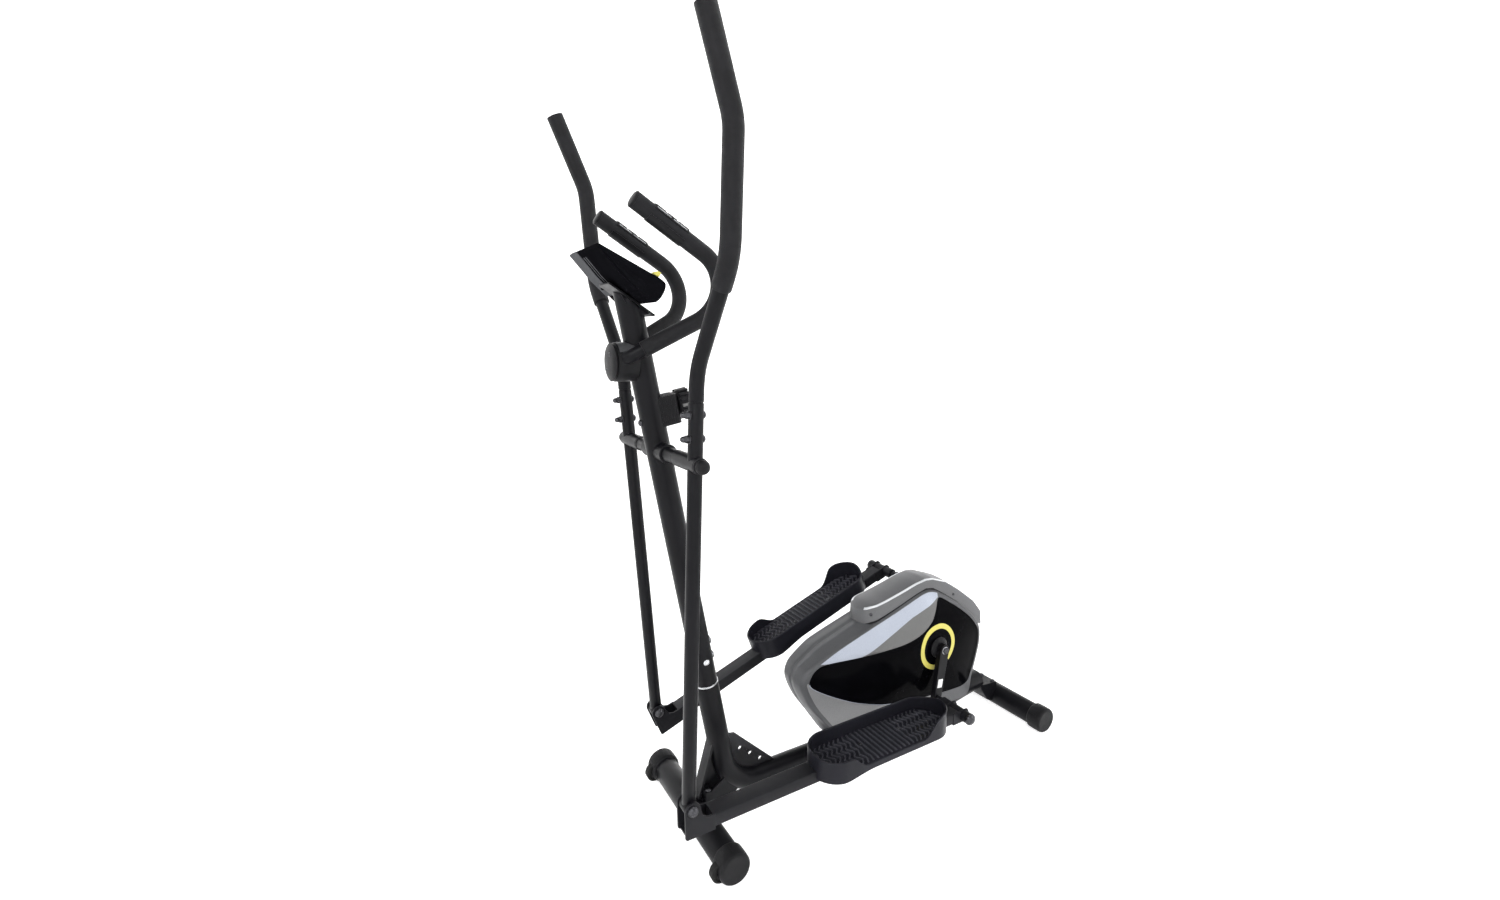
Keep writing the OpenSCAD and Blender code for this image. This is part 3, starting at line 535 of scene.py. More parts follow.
def main_frame():
    knee = on_post(MAIN_Z)
    piece = Piece("main_frame_tube", "coat", "bolt")
    path = route([MAIN_END, MAIN_RISE, knee, on_post(RIM_Z - 2)], MAIN_BENDS)
    piece.add(tube(path, MAIN_R, 56))
    up = (on_post(400) - on_post(300)).normalized()
    piece.add(collar(MAIN_R + 0.4, POST_R - 4, 4), facing(on_post(RIM_Z - 3.6), up), 1)
    gusset = [(knee.x + x, z) for x, z in ((2, 196), (-18, 192), (-128, 86), (-132, 76), (-60, 76), (2, 140))]
    holes = [circle_outline(knee.x - 32 - 27.5 * i, 149 - 22.5 * i, 5) for i in range(3)]
    piece.plate(gusset, -2.5, 2.5, holes=holes)
    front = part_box("front_stabiliser")
    foot_x = (front[0][0] + front[1][0]) / 2 / MM
    top = on_post(182)
    foot = Vector((foot_x - 8, 0, 66))
    start = Vector((top.x + MAIN_R - 2, 0, top.z))
    along = foot - start
    bar = facing(start, along)
    piece.add(block((-3, -15, -8), (3, 15, along.length)), bar)
    web = [(start.x - 2, 176), (foot_x - 12, 68), (foot_x - 36, 50), (knee.x - 2, 92), (knee.x + 14, 120)]
    piece.plate(web, -2, 2)
    wide = [(knee.x + 8, 108), (knee.x - 24, 66), (foot_x - 70, 38), (foot_x - 24, 40), (foot_x - 12, 66)]
    for y in (-20, 16):
        piece.plate(wide, y, y + 4)
    saddle = [(foot_x + x, z) for x, z in ((-35, 15), (-24, 15), (-17, 62), (-17, 88), (-34, 88))]
    piece.plate(saddle, -30, 30)
    piece.plate(REAR_SADDLE, -27, 27)
    return piece.done("frame", "frame_black", "main_frame", bevel=0.8)


FRONT_X = 418
WHEEL_X, WHEEL_Z, WHEEL_Y, WHEEL_R, WHEEL_W = 443, 28, 177, 22, 18
REAR_BOLTS = [(-556, -20, 84), (-556, 20, 84)]
FRONT_BOLTS = [(FRONT_X - 26, -21.5, 88), (FRONT_X - 26, 21.5, 88)]
POST_BOLTS_Z = (400, 436)
CAP_EDGE = [(4.6, 42), (0.6, 38), (0, 36.5), (0, 6), (1, 3.2), (2.2, 2.4), (3, 0.8), (5, 0), (9, 0.4)]


def stabiliser(node, caps):
    """Makes a stabiliser's tube; its caps are returned unfinished."""
    low, high = (Vector(c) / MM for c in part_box(node))
    x, z = (low.x + high.x) / 2, (low.z + high.z) / 2
    r = (high.z - low.z) / 2
    piece = Piece(node + "_tube", "coat")
    piece.add(tube([(x, low.y - 3, z), (x, high.y + 3, z)], r, 56))
    piece.done("frame", "frame_black", node)

    low, high = (Vector(c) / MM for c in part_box(caps))
    x, z, end = (low.x + high.x) / 2, (low.z + high.z) / 2, high.y
    if node == "front_stabiliser":
        x = FRONT_X
    r = (high.z - low.z) / 2
    piece = Piece(caps + "_moulded", "cap_plastic")
    profile = [(r - cut, end - back) for cut, back in CAP_EDGE]
    piece.both(lathe([(0, end - 42)] + profile + [(0, end - 0.6)], 64), facing((x, 0, z), (0, 1, 0)))
    for k in range(12):
        a = 2 * pi * k / 12
        piece.both(block((-1.2, -0.7, 0), (1.2, 0.7, 22)),
                   facing((x + (r - 0.4) * cos(a), end - 34, z + (r - 0.4) * sin(a)), (0, 1, 0),
                          (-sin(a), 0, cos(a))))
    return piece


def stabilisers():
    stabiliser("rear_stabiliser", "rear_caps").done("frame", "plastic_black", "rear_caps")
    piece = stabiliser("front_stabiliser", "front_caps")
    for y in (WHEEL_Y - WHEEL_W / 2 - 4.5, WHEEL_Y + WHEEL_W / 2 + 0.8):
        cheek = circle_outline(WHEEL_X - 1, WHEEL_Z + 1, 12.5, 32)
        piece.both(prism(cheek, -y - 3.7, -y), SIDE_VIEW)
    piece.done("frame", "plastic_black", "front_caps")


def transport_wheel(name):
    side = SIDES[name]
    piece = Piece("transport_wheel_" + name + "_turned", "tyre")
    face = ((4.1, 1), (6, 0), (9, 0), (10, 2.5), (WHEEL_R - 6, 2.5), (WHEEL_R - 5, 0), (WHEEL_R - 1.5, 0),
            (WHEEL_R, 2))
    rim = [(r, h - WHEEL_W / 2) for r, h in face]
    rim += [(r, -h) for r, h in rim[::-1]]
    piece.add(lathe(rim, 56), facing((WHEEL_X, side * WHEEL_Y, WHEEL_Z), (0, 1, 0)))
    piece.done("wheel_" + name, "plastic_black", "transport_wheel_" + name)


def frame_bolts():
    piece = Piece("stabiliser_bolt_heads", "bolt_black")
    for place in FRONT_BOLTS + REAR_BOLTS:
        piece.add(domed(7, 4), facing(place, (0, 0, 1)))
    piece.done("frame", "bolt_chrome", "stabiliser_bolts")
    piece = Piece("post_bolt_heads", "bolt", "bolt_black")
    back = Vector((-cos(radians(POST_LEAN)), 0, sin(radians(POST_LEAN))))
    for z in POST_BOLTS_Z:
        head = facing(on_post(z) + (POST_R + 0.4) * back, back)
        piece.add(domed(7, 4.2), head).add(collar(10, 6, 1.2), head)
    piece.both(domed(7, 4.2), facing(on_post(POST_BOLTS_Z[0]) + Vector((0, POST_R, 0)), (0, 1, 0)))
    piece.add(domed(7, 4.2), facing(on_post(934) - (POST_R + 0.2) * back, -back), 1)
    piece.done("frame", "bolt_chrome", "post_bolts")


# ---------- post, axle and fixed handlebar ----------

def post():
    """The post's tube; its top is cut on a slant, just under the console's bracket plate."""
    piece = Piece("post_tube", "coat")
    up = (on_post(400) - on_post(300)).normalized()
    side = Vector((0, 1, 0))
    plate = console_view()
    over = plate @ Vector((0, -33.6, 0))
    normal = (plate @ Vector((0, -32.6, 0)) - over).normalized()
    rings = []
    for z, r in ((RIM_Z, POST_R - 1), (RIM_Z + 1, POST_R), (1100, POST_R)):
        turns = [2 * pi * k / 56 for k in range(56)]
        rings.append([on_post(z) + r * (cos(a) * side + sin(a) * side.cross(up)) for a in turns])
    rings.append([p + (over - p).dot(normal) / up.dot(normal) * up for p in rings[-1]])
    piece.add(loft(rings))
    piece.done("frame", "frame_black", "post")


AXLE_R, AXLE_HALF = 9, 194
BALL_R, BALL_CUT = 13.4, 6.0


def axle():
    piece = Piece("cross_axle", "coat", "bolt")
    at = facing((PIVOT.x, 0, PIVOT.z), (0, 1, 0))
    piece.add(disc(AXLE_R, 2 * AXLE_HALF, base=-AXLE_HALF), at)
    piece.both(lathe([(0, 12), (19, 12), (19, 49), (17.5, 50.4), (14.6, 50.6), (14, 52), (14, 90), (15.2, 91),
                      (15.2, 92.6), (0, 92.6)], 56), at)
    piece.both(block((-1.1, -0.6, 0), (1.1, 0.8, 7)), facing((PIVOT.x - 13.6, 62, PIVOT.z - 3), (0, 0, 1)), 1)
    piece.done("frame", "frame_black", "pivot_axle", bevel=0.3)
    piece = Piece("axle_ball_caps", "dark_plastic")
    r, cut = BALL_R, BALL_CUT
    ball = [(sqrt(r * r - h * h), 201 + h) for h in [-cut + (r + cut - 0.4) * i / 12 for i in range(13)]]
    piece.both(lathe([(0, 194.1), (10, 194.1)] + ball + [(0, 201 + r)], 48), at)
    piece.done("frame", "plastic_black", "axle_caps")


HANDLE_Y = 100
HANDLE = [(557, 0, 1056), (557, 34, 1056), (321, HANDLE_Y, 1181), (555, HANDLE_Y, 1326)]
HANDLE_BENDS = [20, 72]
BAR_R = 12.7
FOAM_R = 15.6
FOAM_FROM = 0.13
PULSE_BACK = 104


def fixed_handlebar():
    piece = Piece("fixed_handlebar_tube", "coat")
    path = [Vector(p) for p in HANDLE]
    left = route(path, HANDLE_BENDS)
    right = [Vector((p.x, -p.y, p.z)) for p in left[:0:-1]]
    piece.add(tube(right + left, BAR_R, 44))
    piece.done("frame", "frame_black", "fixed_handlebar")

    start = path[1].lerp(path[2], FOAM_FROM)
    sleeve = route([start] + path[2:], HANDLE_BENDS[1:])
    piece = Piece("handlebar_foam_sleeves", "foam")
    piece.both(tube(sleeve, FOAM_R, 48, soft=1.6))
    piece.done("frame", "foam_black", "handlebar_foam")

    end, out = path[3], (path[3] - path[2]).normalized()
    piece = Piece("handlebar_end_plugs", "dark_plastic")
    plug = [(0, 0.1), (FOAM_R, 0.1), (FOAM_R + 0.2, 2), (FOAM_R - 0.6, 4), (FOAM_R - 3, 5.4), (0, 6)]
    piece.both(lathe(plug), facing(end, out))
    piece.done("frame", "plastic_black", "handlebar_plugs")

    piece = Piece("pulse_plates", "dark_plastic", "pulse")
    shell = facing(end - PULSE_BACK * out, out, (0, 0, 1))
    for turn in (0, 180):
        piece.both(curved_plate(FOAM_R - 0.4, 2.0, 130, -2, 72), shell @ turned(turn))
    for low, high in ((0, 20), (26, 44), (50, 70)):
        piece.both(curved_plate(FOAM_R + 1.2, 1.4, 84, low, high), shell)
    for turn in (-50, 50):
        for low, high in ((3, 33), (38, 67)):
            piece.both(curved_plate(FOAM_R + 1.2, 0.9, 10, low, high), shell @ turned(turn), 1)
    piece.done("frame", "bolt_chrome", "pulse_sensors", bevel=0.5)


def curved_plate(r, thick, span, low, high, steps=16):
    """A plate bent round the Z axis over span degrees, centred on +X."""
    outline = []
    for radius, order in ((r + thick, 1), (r, -1)):
        arc = [radians(-span / 2 + span * i / steps) for i in range(steps + 1)][::order]
        outline += [(radius * cos(a), radius * sin(a)) for a in arc]
    return prism(outline, low, high)


CLAMP_R, CLAMP_Z = 37, 1049


def clamp_cover():
    r, z = CLAMP_R, CLAMP_Z
    at = facing((0, 0, z), (1, 0, 0), (0, 0, -1))
    piece = Piece("clamp_cover_moulded", "dark_plastic", "bolt_black", "shell_dark")
    body = [(0, 529), (r - 4, 529), (r - 0.6, 529), (r, 530), (r, 568), (r - 0.6, 569.6), (r - 2, 570.2)]
    face = [(r - 3, 571), (r - 1, 573), (r - 0.6, 574.4), (r - 4, 576.5), (r - 12, 578.8), (r - 24, 580)]
    piece.add(lathe(body + face + [(0, 580.2)], 72), at)
    for turn in (-1, 1):
        piece.add(collar(4.4, 2.6, 1.2), facing((578.8, 9 * turn, z + 15 * turn), (1, 0, 0)), 1)
        piece.add(disc(2.6, 0.6), facing((578.4, 9 * turn, z + 15 * turn), (1, 0, 0)), 1)
    piece.add(curved_plate(r - 0.3, 0.9, 116, 532, 566, 24), facing((0, 0, z), (1, 0, 0), (0, 0, 1)), 2)
    piece.done("frame", "plastic_black", "clamp_cover", bevel=0.4)


# ---------- console ----------

CONSOLE_SLOPE = 33
CONSOLE_AT = (546.5, 0, 1207)
CONSOLE_HALF = 87


def console_view():
    """Side view of the console: +X up its slope to the front, +Y out of its face, +Z to the user's right."""
    return leaning(CONSOLE_AT, -CONSOLE_SLOPE) @ SIDE_VIEW


def console():
    at = console_view()
    half = CONSOLE_HALF
    piece = Piece("console_shell", "console", "console_grey")
    top = [(84, -2), (84, 1), (-38, 16.4), (-44, 16.6)]
    nose = [(-50 - 8.5 * sin(radians(a)), -5 + 21 * cos(radians(a))) for a in range(12, 175, 9)]
    under = [(-40, -29), (-30, -28), (30, -17), (60, -8)]
    upper = top + nose + under
    middle = Vector((10, -3))
    rings = []
    ends = ((-half, 4), (-half + 1.2, 1.6), (-half + 4, 0), (half - 4, 0), (half - 1.2, 1.6), (half, 4))
    for y, inset in ends:
        ring_points = []
        for p in upper[::-1]:
            x, z = Vector(p) - (Vector(p) - middle).normalized() * inset
            ring_points.append(Vector((x, z, -y)))
        rings.append(ring_points)
    piece.add(loft(rings), at)
    skin_line = [(60, -8), (30, -17), (-14, -25)]
    plate = [(84.5, -3.6), (84.5, -1.2)] + skin_line + [(-14, -27.4), (30, -19.4), (60, -10.4)]
    piece.add(prism(plate[::-1], -half + 1, half - 1), at)
    strip = [(84.8, -4.6), (84.8, -1.4)] + skin_line + [(-14, -28.6), (30, -20.6), (60, -11.6)]
    piece.add(prism(strip[::-1], half - 52, half - 0.4), at, 1)
    line = [(72, -8.6), (72, -5), (30, -17), (-20, -26), (-20, -28.8), (30, -20.4)]
    for y in (half - 78, half - 66):
        piece.add(prism(line[::-1], y, y + 1.6), at, 1)
    for k in range(6):
        x = 2 + 11 * k
        z = -24.6 + 0.3 * 11 * k + 0.07 * max(0, k - 2) * 11
        vent = [(x, z - 1.6), (x + 6.5, z + 0.3), (x + 6.5, z + 3), (x, z + 3)]
        piece.add(prism(vent, half - 42, half - 12), at)
    for step in (0, 1):
        rail = [(70 - 8 * step, -1.6 - 5 * step), (-30, -6 - 7 * step), (-30, -7.4 - 7 * step),
                (70 - 8 * step, -2.6 - 5 * step)]
        for y0, y1 in ((half - 2, half + 0.7), (-half - 0.7, -half + 2)):
            piece.add(prism(rail, y0, y1), at)
    piece.done("frame", "plastic_black", "console_body", bevel=0.5)

    face = leaning(CONSOLE_AT, -CONSOLE_SLOPE) @ moved(84, 0, 1) @ turned(7.1, "Y")
    piece = Piece("console_window", "screen", "console_grey")
    frame_loop = round_outline(92, 132, 10)
    window = round_outline(66, 98, 6)
    centre = face @ Matrix.Translation((-60, 0, 0))
    piece.add(prism(frame_loop, -1.5, 1.0, [window]), centre, 1)
    piece.add(prism(window, -1.5, 0.1), centre)
    piece.done("frame", "screen_glass", "console_screen", bevel=0.4)

    low, high = (Vector(c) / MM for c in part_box("mode_button"))
    button_y = (low.y + high.y) / 2
    piece = Piece("mode_button_cap", "yellow")
    spot = face @ Matrix.Translation((-116, button_y, 0))
    piece.add(lathe([(0, -6), (5.8, -6), (5.8, 2.4), (5.2, 3.4), (3.6, 4), (0, 4.2)], 32), spot)
    piece.add(prism(round_outline(11, 46, 5, 4), 1.8, 4.2), spot @ Matrix.Translation((0, 20, 0)))
    piece.add(prism([(-6, 3), (6, 3), (6, 6), (0, 10.5), (-6, 10.5)], -42, -30), spot @ SIDE_VIEW)
    piece.done("mode_button", "ring_yellow", "mode_button")

    piece = Piece("console_bracket_plate", "coat")
    piece.add(prism([(-82, -33), (22, -33), (22, -29.6), (-82, -29.6)], -30, 30), at)
    for y in (-22, 19):
        piece.add(prism([(-60, -46), (-24, -42), (-8, -33), (-74, -33)], y, y + 3), at)
    piece.done("frame", "frame_black", "console_bracket", bevel=0.5)


# ---------- tension control ----------

TENSION_Z = 952
KNOB_R = 27.5


def tension_control():
    at = leaning(on_post(TENSION_Z), POST_LEAN)
    piece = Piece("tension_box", "dark_plastic", "bolt")
    outline = [(-54, -17), (-49, -22), (-12, -22), (-12, 22), (-49, 22), (-54, 17)]
    piece.add(prism(outline, -34, 25), at)
    for k in range(9):
        x = -47 + 4.2 * k
        for y in (-22.7, 21.7):
            piece.add(block((x, y, -31), (x + 2, y + 1, 22)), at)
        piece.add(block((x, -19, 24.6), (x + 2, 19, 25.8)), at)
    piece.add(domed(4.5, 2.4), at @ facing((-54, 9, -24), (-1, 0, 0)), 1)
    piece.done("frame", "plastic_black", "tension_housing", bevel=0.6)

    piece = Piece("tension_knob_ribbed", "dark_plastic", "shell_wedge")
    knob = at @ turned(-90, "Y")
    r = KNOB_R
    piece.add(disc(7, 20, base=38), knob)
    top = [(r, 59), (r, 79), (r - 1, 80.6), (r - 4, 81.6), (r - 8, 81), (0, 80.6)]
    piece.add(lathe([(0, 55), (24, 55), (26, 56), (26, 58)] + top, 64), knob)
    rib = prism(round_outline(4.4, 6.4, 1.6, 4), 58.5, 80.8)
    # every fourth rib is mid grey: a painted highlight standing in for the light the black ribs catch
    for k in range(16):
        piece.add(rib, knob @ turned(22.5 * k) @ moved(r + 1.2, 0, 0), 1 if k % 4 == 0 else 0)
    piece.done("tension_knob", "plastic_black", "tension_knob", bevel=0.5)


# ---------- swing arms ----------

ARM_R = 14
GRIP_R = 17.3
ARM_LOW = 673.5
UPPER = [(0, 0, 112), (0, 0, 165), (4, 120, 345), (4, 120, 545), (54, 120, 690)]
ARM_BEND = 110
GRIP_FROM = 300
ARM_BOLTS_Z = (46, 89)


def swing_arm(name):
    at = arm_frame(name)
    body = "arm_" + name
    piece = Piece("lower_arm_" + name + "_tube", "coat")
    piece.add(tube([(0, 0, -ARM_LOW + 2), (0, 0, 110)], ARM_R, 44), at)
    piece.add(collar(15.5, 12.1, 95, base=-74), at @ facing((0, 0, 0), (0, 1, 0)))
    piece.add(disc(15, 27, base=-13.5), at @ facing((0, 0, -ARM_LOW), (0, 1, 0)))
    piece.done(body, "frame_black", "lower_arm_" + name)

    path = [Vector(p) for p in UPPER]
    piece = Piece("upper_arm_" + name + "_tube", "coat")
    piece.add(tube(route(path, [ARM_BEND] * 3), ARM_R, 44), at)
    piece.add(tube([(0, 0, 100), (0, 0, 114)], ARM_R - 1.2, 44), at)
    piece.done(body, "frame_black", "upper_arm_" + name)

    start = path[1].lerp(path[2], (GRIP_FROM - path[1].z) / (path[2].z - path[1].z))
    end = path[4] + 4 * (path[4] - path[3]).normalized()
    piece = Piece("grip_" + name + "_foam", "foam")
    piece.add(tube(route([start, path[2], path[3], end], [ARM_BEND] * 2, 4), GRIP_R, 56, soft=2.0), at)
    piece.done(body, "foam_black", "grip_" + name)

    piece = Piece("arm_bolts_" + name + "_heads", "bolt_black", "bolt")
    for z in ARM_BOLTS_Z:
        piece.add(domed(7.5, 4.5), at @ facing((-ARM_R + 0.2, 0, z), (-1, 0, 0)))
        piece.add(collar(9, 5, 1.4), at @ facing((ARM_R - 1.6, 0, z), (1, 0, 0)))
        nut = lathe([(0, 0), (7.2, 0), (7.2, 6), (5.8, 7), (5.6, 11), (4.6, 14), (2.6, 16), (0, 16.4)], 24)
        piece.add(nut, at @ facing((ARM_R - 0.6, 0, z), (1, 0, 0)))
    piece.done(body, "bolt_chrome", "arm_bolts_" + name)


# ---------- pedal bars ----------

BAR_IN = 150
BAR_W = 40
BAR_H = 28
CLEVIS_R = 17
SLEEVE_IN, SLEEVE_OUT = 121, 207


def pedal_bar(name):
    at = bar_frame(name)
    piece = Piece("pedal_bar_" + name + "_weldment", "coat_bar", "dark_plastic")
    half = BAR_H / 2
    section = round_outline(BAR_W, BAR_H, 3, 4)
    lie = at @ facing((-44, BAR_IN + BAR_W / 2, -BAR_DROP), (-1, 0, 0), (0, 1, 0))
    piece.add(prism(section, 0, PIN_BACK - 44 - 16), lie)
    clevis = [(13, -59), (16.5, -56)]
    clevis += [(CLEVIS_R * cos(radians(a)), CLEVIS_R * sin(radians(a))) for a in range(-4, 190, 12)]
    clevis += [(-22, -19), (-32, -25), (-48, -26), (-48, -59)]
    for y in (BAR_IN - 0.4, BAR_IN + BAR_W - 3.8):
        piece.plate(clevis, y, y + 4.2, at)
    piece.add(block((-44, BAR_IN, -59), (12, BAR_IN + BAR_W, -55)), at)
    pin = at @ facing((-PIN_BACK, 0, -BAR_DROP), (0, 1, 0))
    piece.add(collar(14, 9, SLEEVE_OUT - SLEEVE_IN, base=SLEEVE_IN), pin)
    piece.add(disc(9.5, 18, base=104), pin)
    corners = ((36, half + 1), (-12, half + 1), (-17, 6), (-17, 2 - half), (-12, -half - 2), (36, -half - 2))
    bracket = [(-PIN_BACK + x, -BAR_DROP + z) for x, z in corners]
    for y in (BAR_IN - 1, BAR_IN + BAR_W - 3):
        piece.plate(bracket, y, y + 4, at)
    for s in (380, 560):
        piece.add(block((-s - 20, 126, -BAR_DROP + half - 5), (-s + 20, 226, -BAR_DROP + half)), at)
    piece.done("bar_" + name, "frame_black", "pedal_bar_" + name, bevel=0.7)

    piece = Piece("joint_bolt_" + name + "_heads", "bolt_black")
    for y, out in ((BAR_IN + BAR_W + 0.3, 1), (BAR_IN - 0.3, -1)):
        piece.add(domed(11.5, 8, 1.5), at @ facing((0, y, 0), (0, out, 0)))
    cap = [(0, 0.4), (14.4, 0.4), (15, 2), (14.4, 6), (11, 10), (5, 12), (0, 12.4)]
    piece.add(lathe([(r, SLEEVE_OUT + h) for r, h in cap], 40), pin)
    piece.done("bar_" + name, "bolt_chrome", "joint_bolt_" + name)


PEDAL_IN, PEDAL_OUT = 118, 234
PEDAL_FRONT, PEDAL_REAR = 290, 670
PEDAL_MID = (PEDAL_OUT + PEDAL_IN) / 2
TREAD = -22.5
RIBS = 28
SCREWS = (430, 545)


def smooth_step(x, low, high):
    t = max(0.0, min(1.0, (x - low) / (high - low)))
    return t * t * (3 - 2 * t)


def pedal_loop(inset, count=132):
    """The pedal's round-ended plan as (s, y) points, evenly spaced, starting at the inner front."""
    r = (PEDAL_OUT - PEDAL_IN) / 2
    mid = PEDAL_MID
    run = PEDAL_REAR - PEDAL_FRONT - 2 * r
    around = 2 * run + 2 * pi * r
    points = []
    for k in range(count):
        d = around * k / count
        if d < run:
            s, y, ns, ny = PEDAL_FRONT + r + d, PEDAL_IN, 0, -1
        elif d < run + pi * r:
            a = (d - run) / r
            s, y, ns, ny = PEDAL_REAR - r + r * sin(a), mid - r * cos(a), sin(a), -cos(a)
        elif d < 2 * run + pi * r:
            s, y, ns, ny = PEDAL_REAR - r - (d - run - pi * r), PEDAL_OUT, 0, 1
        else:
            a = (d - 2 * run - pi * r) / r
            s, y, ns, ny = PEDAL_FRONT + r - r * sin(a), mid + r * cos(a), -sin(a), cos(a)
        points.append((s - inset * ns, y - inset * ny))
    return points


def rim_height(s, y):
    """Height of the pedal's wall at a place on its edge."""
    outer = smooth_step(y, 176, 222)
    heel = smooth_step(s, 560, 640)
    toe = 1 - smooth_step(s, 310, 400)
    inner_wall = 10 + 12 * heel * smooth_step(y, 124, 190)
    open_drop = smooth_step(s, 352, 398) * (1 - smooth_step(s, 566, 616))
    toe_wall = 5 + 2 * (1 - toe)
    wall = inner_wall * (1 - outer) + (22 * heel + toe_wall * (1 - heel)) * outer
    return wall * (1 - outer * open_drop) + (TREAD + 1.0) * outer * open_drop


def skirt_depth(s):
    """Depth of the pedal's skirt: the front bucket hangs lower."""
    return -35 - 9 * (1 - smooth_step(s, 330, 420))


def pedal(name):
    at = bar_frame(name)
    piece = Piece("pedal_" + name + "_moulded", "pedal", "tread")
    outer, edge, lip, inner = (pedal_loop(d) for d in (0, 1.2, 3.0, 4.4))
    rings = []
    for k, (s, y) in enumerate(outer):
        top, low = rim_height(s, y), skirt_depth(s)

        def spot(loop, z):
            return Vector((-loop[k][0], loop[k][1], z))

        rings.append([spot(outer, low), spot(outer, top - 1.6), spot(edge, top), spot(lip, top),
                      spot(inner, top - 1.6), spot(inner, min(TREAD, top - 3)), spot(inner, low)])
    piece.add(loft(rings, closed=True), at)
    piece.add(prism([(-s, y) for s, y in inner], -25.9, TREAD), at)
    floor_r = (PEDAL_OUT - PEDAL_IN) / 2 - 6
    for i in range(RIBS):
        s = PEDAL_FRONT + 12 + (PEDAL_REAR - PEDAL_FRONT - 24) * i / (RIBS - 1)
        past = max(0, PEDAL_FRONT + floor_r + 6 - s, s - PEDAL_REAR + floor_r + 6)
        reach = sqrt(max(floor_r ** 2 - past ** 2, 0)) - 1
        if reach < 8:
            continue
        from_middle = abs(s - (PEDAL_FRONT + PEDAL_REAR) / 2)
        wave = 5.5 * smooth_step(from_middle, 40, 100)
        # ribs take material 1, the lighter tread colour that paints a highlight on the rib tops
        piece.add(tread_rib(s, PEDAL_MID, reach, wave), at, 1)
    boss = lathe([(0, TREAD - 1), (7, TREAD - 1), (7, TREAD + 0.8), (6, TREAD + 1.3), (0, TREAD + 1.3)], 28)
    for s in SCREWS:
        piece.add(boss, at @ moved(-s, PEDAL_MID - 8, 0))
    piece.done("bar_" + name, "plastic_black", "pedal_" + name)

    piece = Piece("pedal_screws_" + name + "_heads", "bolt_black")
    head = ((0, 1.0), (4.5, 1.0), (4.5, 2.2), (3.6, 2.8), (2.2, 2.9), (1.6, 1.6), (0, 1.6))
    for s in SCREWS:
        piece.add(lathe([(r, TREAD + h) for r, h in head], 24), at @ moved(-s, PEDAL_MID - 8, 0))
    piece.done("bar_" + name, "bolt_chrome", "pedal_screws_" + name)


def tread_rib(s, mid, reach, wave, width=5.0, height=3.4):
    """One rib across the tread, waved towards the pedal's ends."""
    steps = 24
    rings = []
    for i in range(steps + 1):
        y = mid - reach + 2 * reach * i / steps
        x = -(s + wave * sin((y - mid) * 2 * pi / 30))
        taper = 0.35 if i in (0, steps) else 1
        w, h = width / 2, TREAD + height * taper
        section = ((-w, TREAD - 0.5), (w, TREAD - 0.5), (0.5 * w, h), (-0.5 * w, h))
        rings.append([Vector((x + dx, y, z)) for dx, z in section])
    return loft(rings)


# ---------- crank ----------

CRANK_IN, CRANK_OUT = 90, 104
CRANK_PIN_R, CRANK_HUB_R = 12.5, 15
STICKER_AT = 0.68


def crank():
    piece = Piece("crank_arms_forged", "coat", "white")
    for side in SIDES.values():
        pin = crank_pin(side)
        along = (pin - CRANK).normalized()
        across = Vector((-along.z, 0, along.x))
        outline = []
        for centre, r, out in ((pin, CRANK_PIN_R, 1), (CRANK, CRANK_HUB_R, -1)):
            for i in range(13):
                a = radians(90 - 15 * i)
                p = Vector((centre.x, 0, centre.z)) + r * (out * cos(a) * along + out * sin(a) * across)
                outline.append((p.x, p.z))
        y0, y1 = (CRANK_IN, CRANK_OUT) if side > 0 else (-CRANK_OUT, -CRANK_IN)
        piece.plate(outline, y0, y1)
        if side > 0:
            centre = CRANK.lerp(pin, STICKER_AT)
            sticker = facing((centre.x, CRANK_OUT + 0.1, centre.z), (0, 1, 0), (across.x, 0, across.z))
            piece.add(block((-8, -11.5, -0.4), (8, 11.5, 0.3)), sticker, 1)
    piece.done("crank", "frame_black", "crank_arm_left", "crank_arm_right", bevel=1.2)

    at = facing((CRANK.x, 0, CRANK.z), (0, 1, 0))
    piece = Piece("crank_hub_discs", "dark_plastic")
    hub = [(10.2, 80.8), (26, 80.8), (28, 82), (28, 84), (25, 86), (19, 89.4), (10.2, 89.4)]
    piece.both(lathe(hub, 56), at)
    piece.done("crank", "plastic_black", "crank_discs")
    piece = Piece("crank_axle_machined", "steel", "bolt_black")
    piece.add(disc(10, 210, base=-105), at)
    piece.both(lathe([(0, 104.6), (9, 104.6), (9, 108), (7, 110), (0, 110.4)], 6), at, 1)
    piece.done("crank", "steel_dark", "crank_axle")


# ---------- what carries over from CAD ----------

CARRIED = {
    "steel": ["wheel_pins", "crank_bearings", "flywheel_axle", "brake_magnets", "flywheel_pulley"],
    "nylon": ["pivot_bushes"],
    "iron": ["flywheel"],
    "coat": ["magnet_bracket"],
    "belt": ["drive_belt"],
    "dark_plastic": ["drive_pulley"],
}


def carry_over():
    for material, nodes in CARRIED.items():
        for node in nodes:
            for slot in frame["nodes"][node].material_slots:
                slot.material = MAT[material]


# ---------- housing ----------

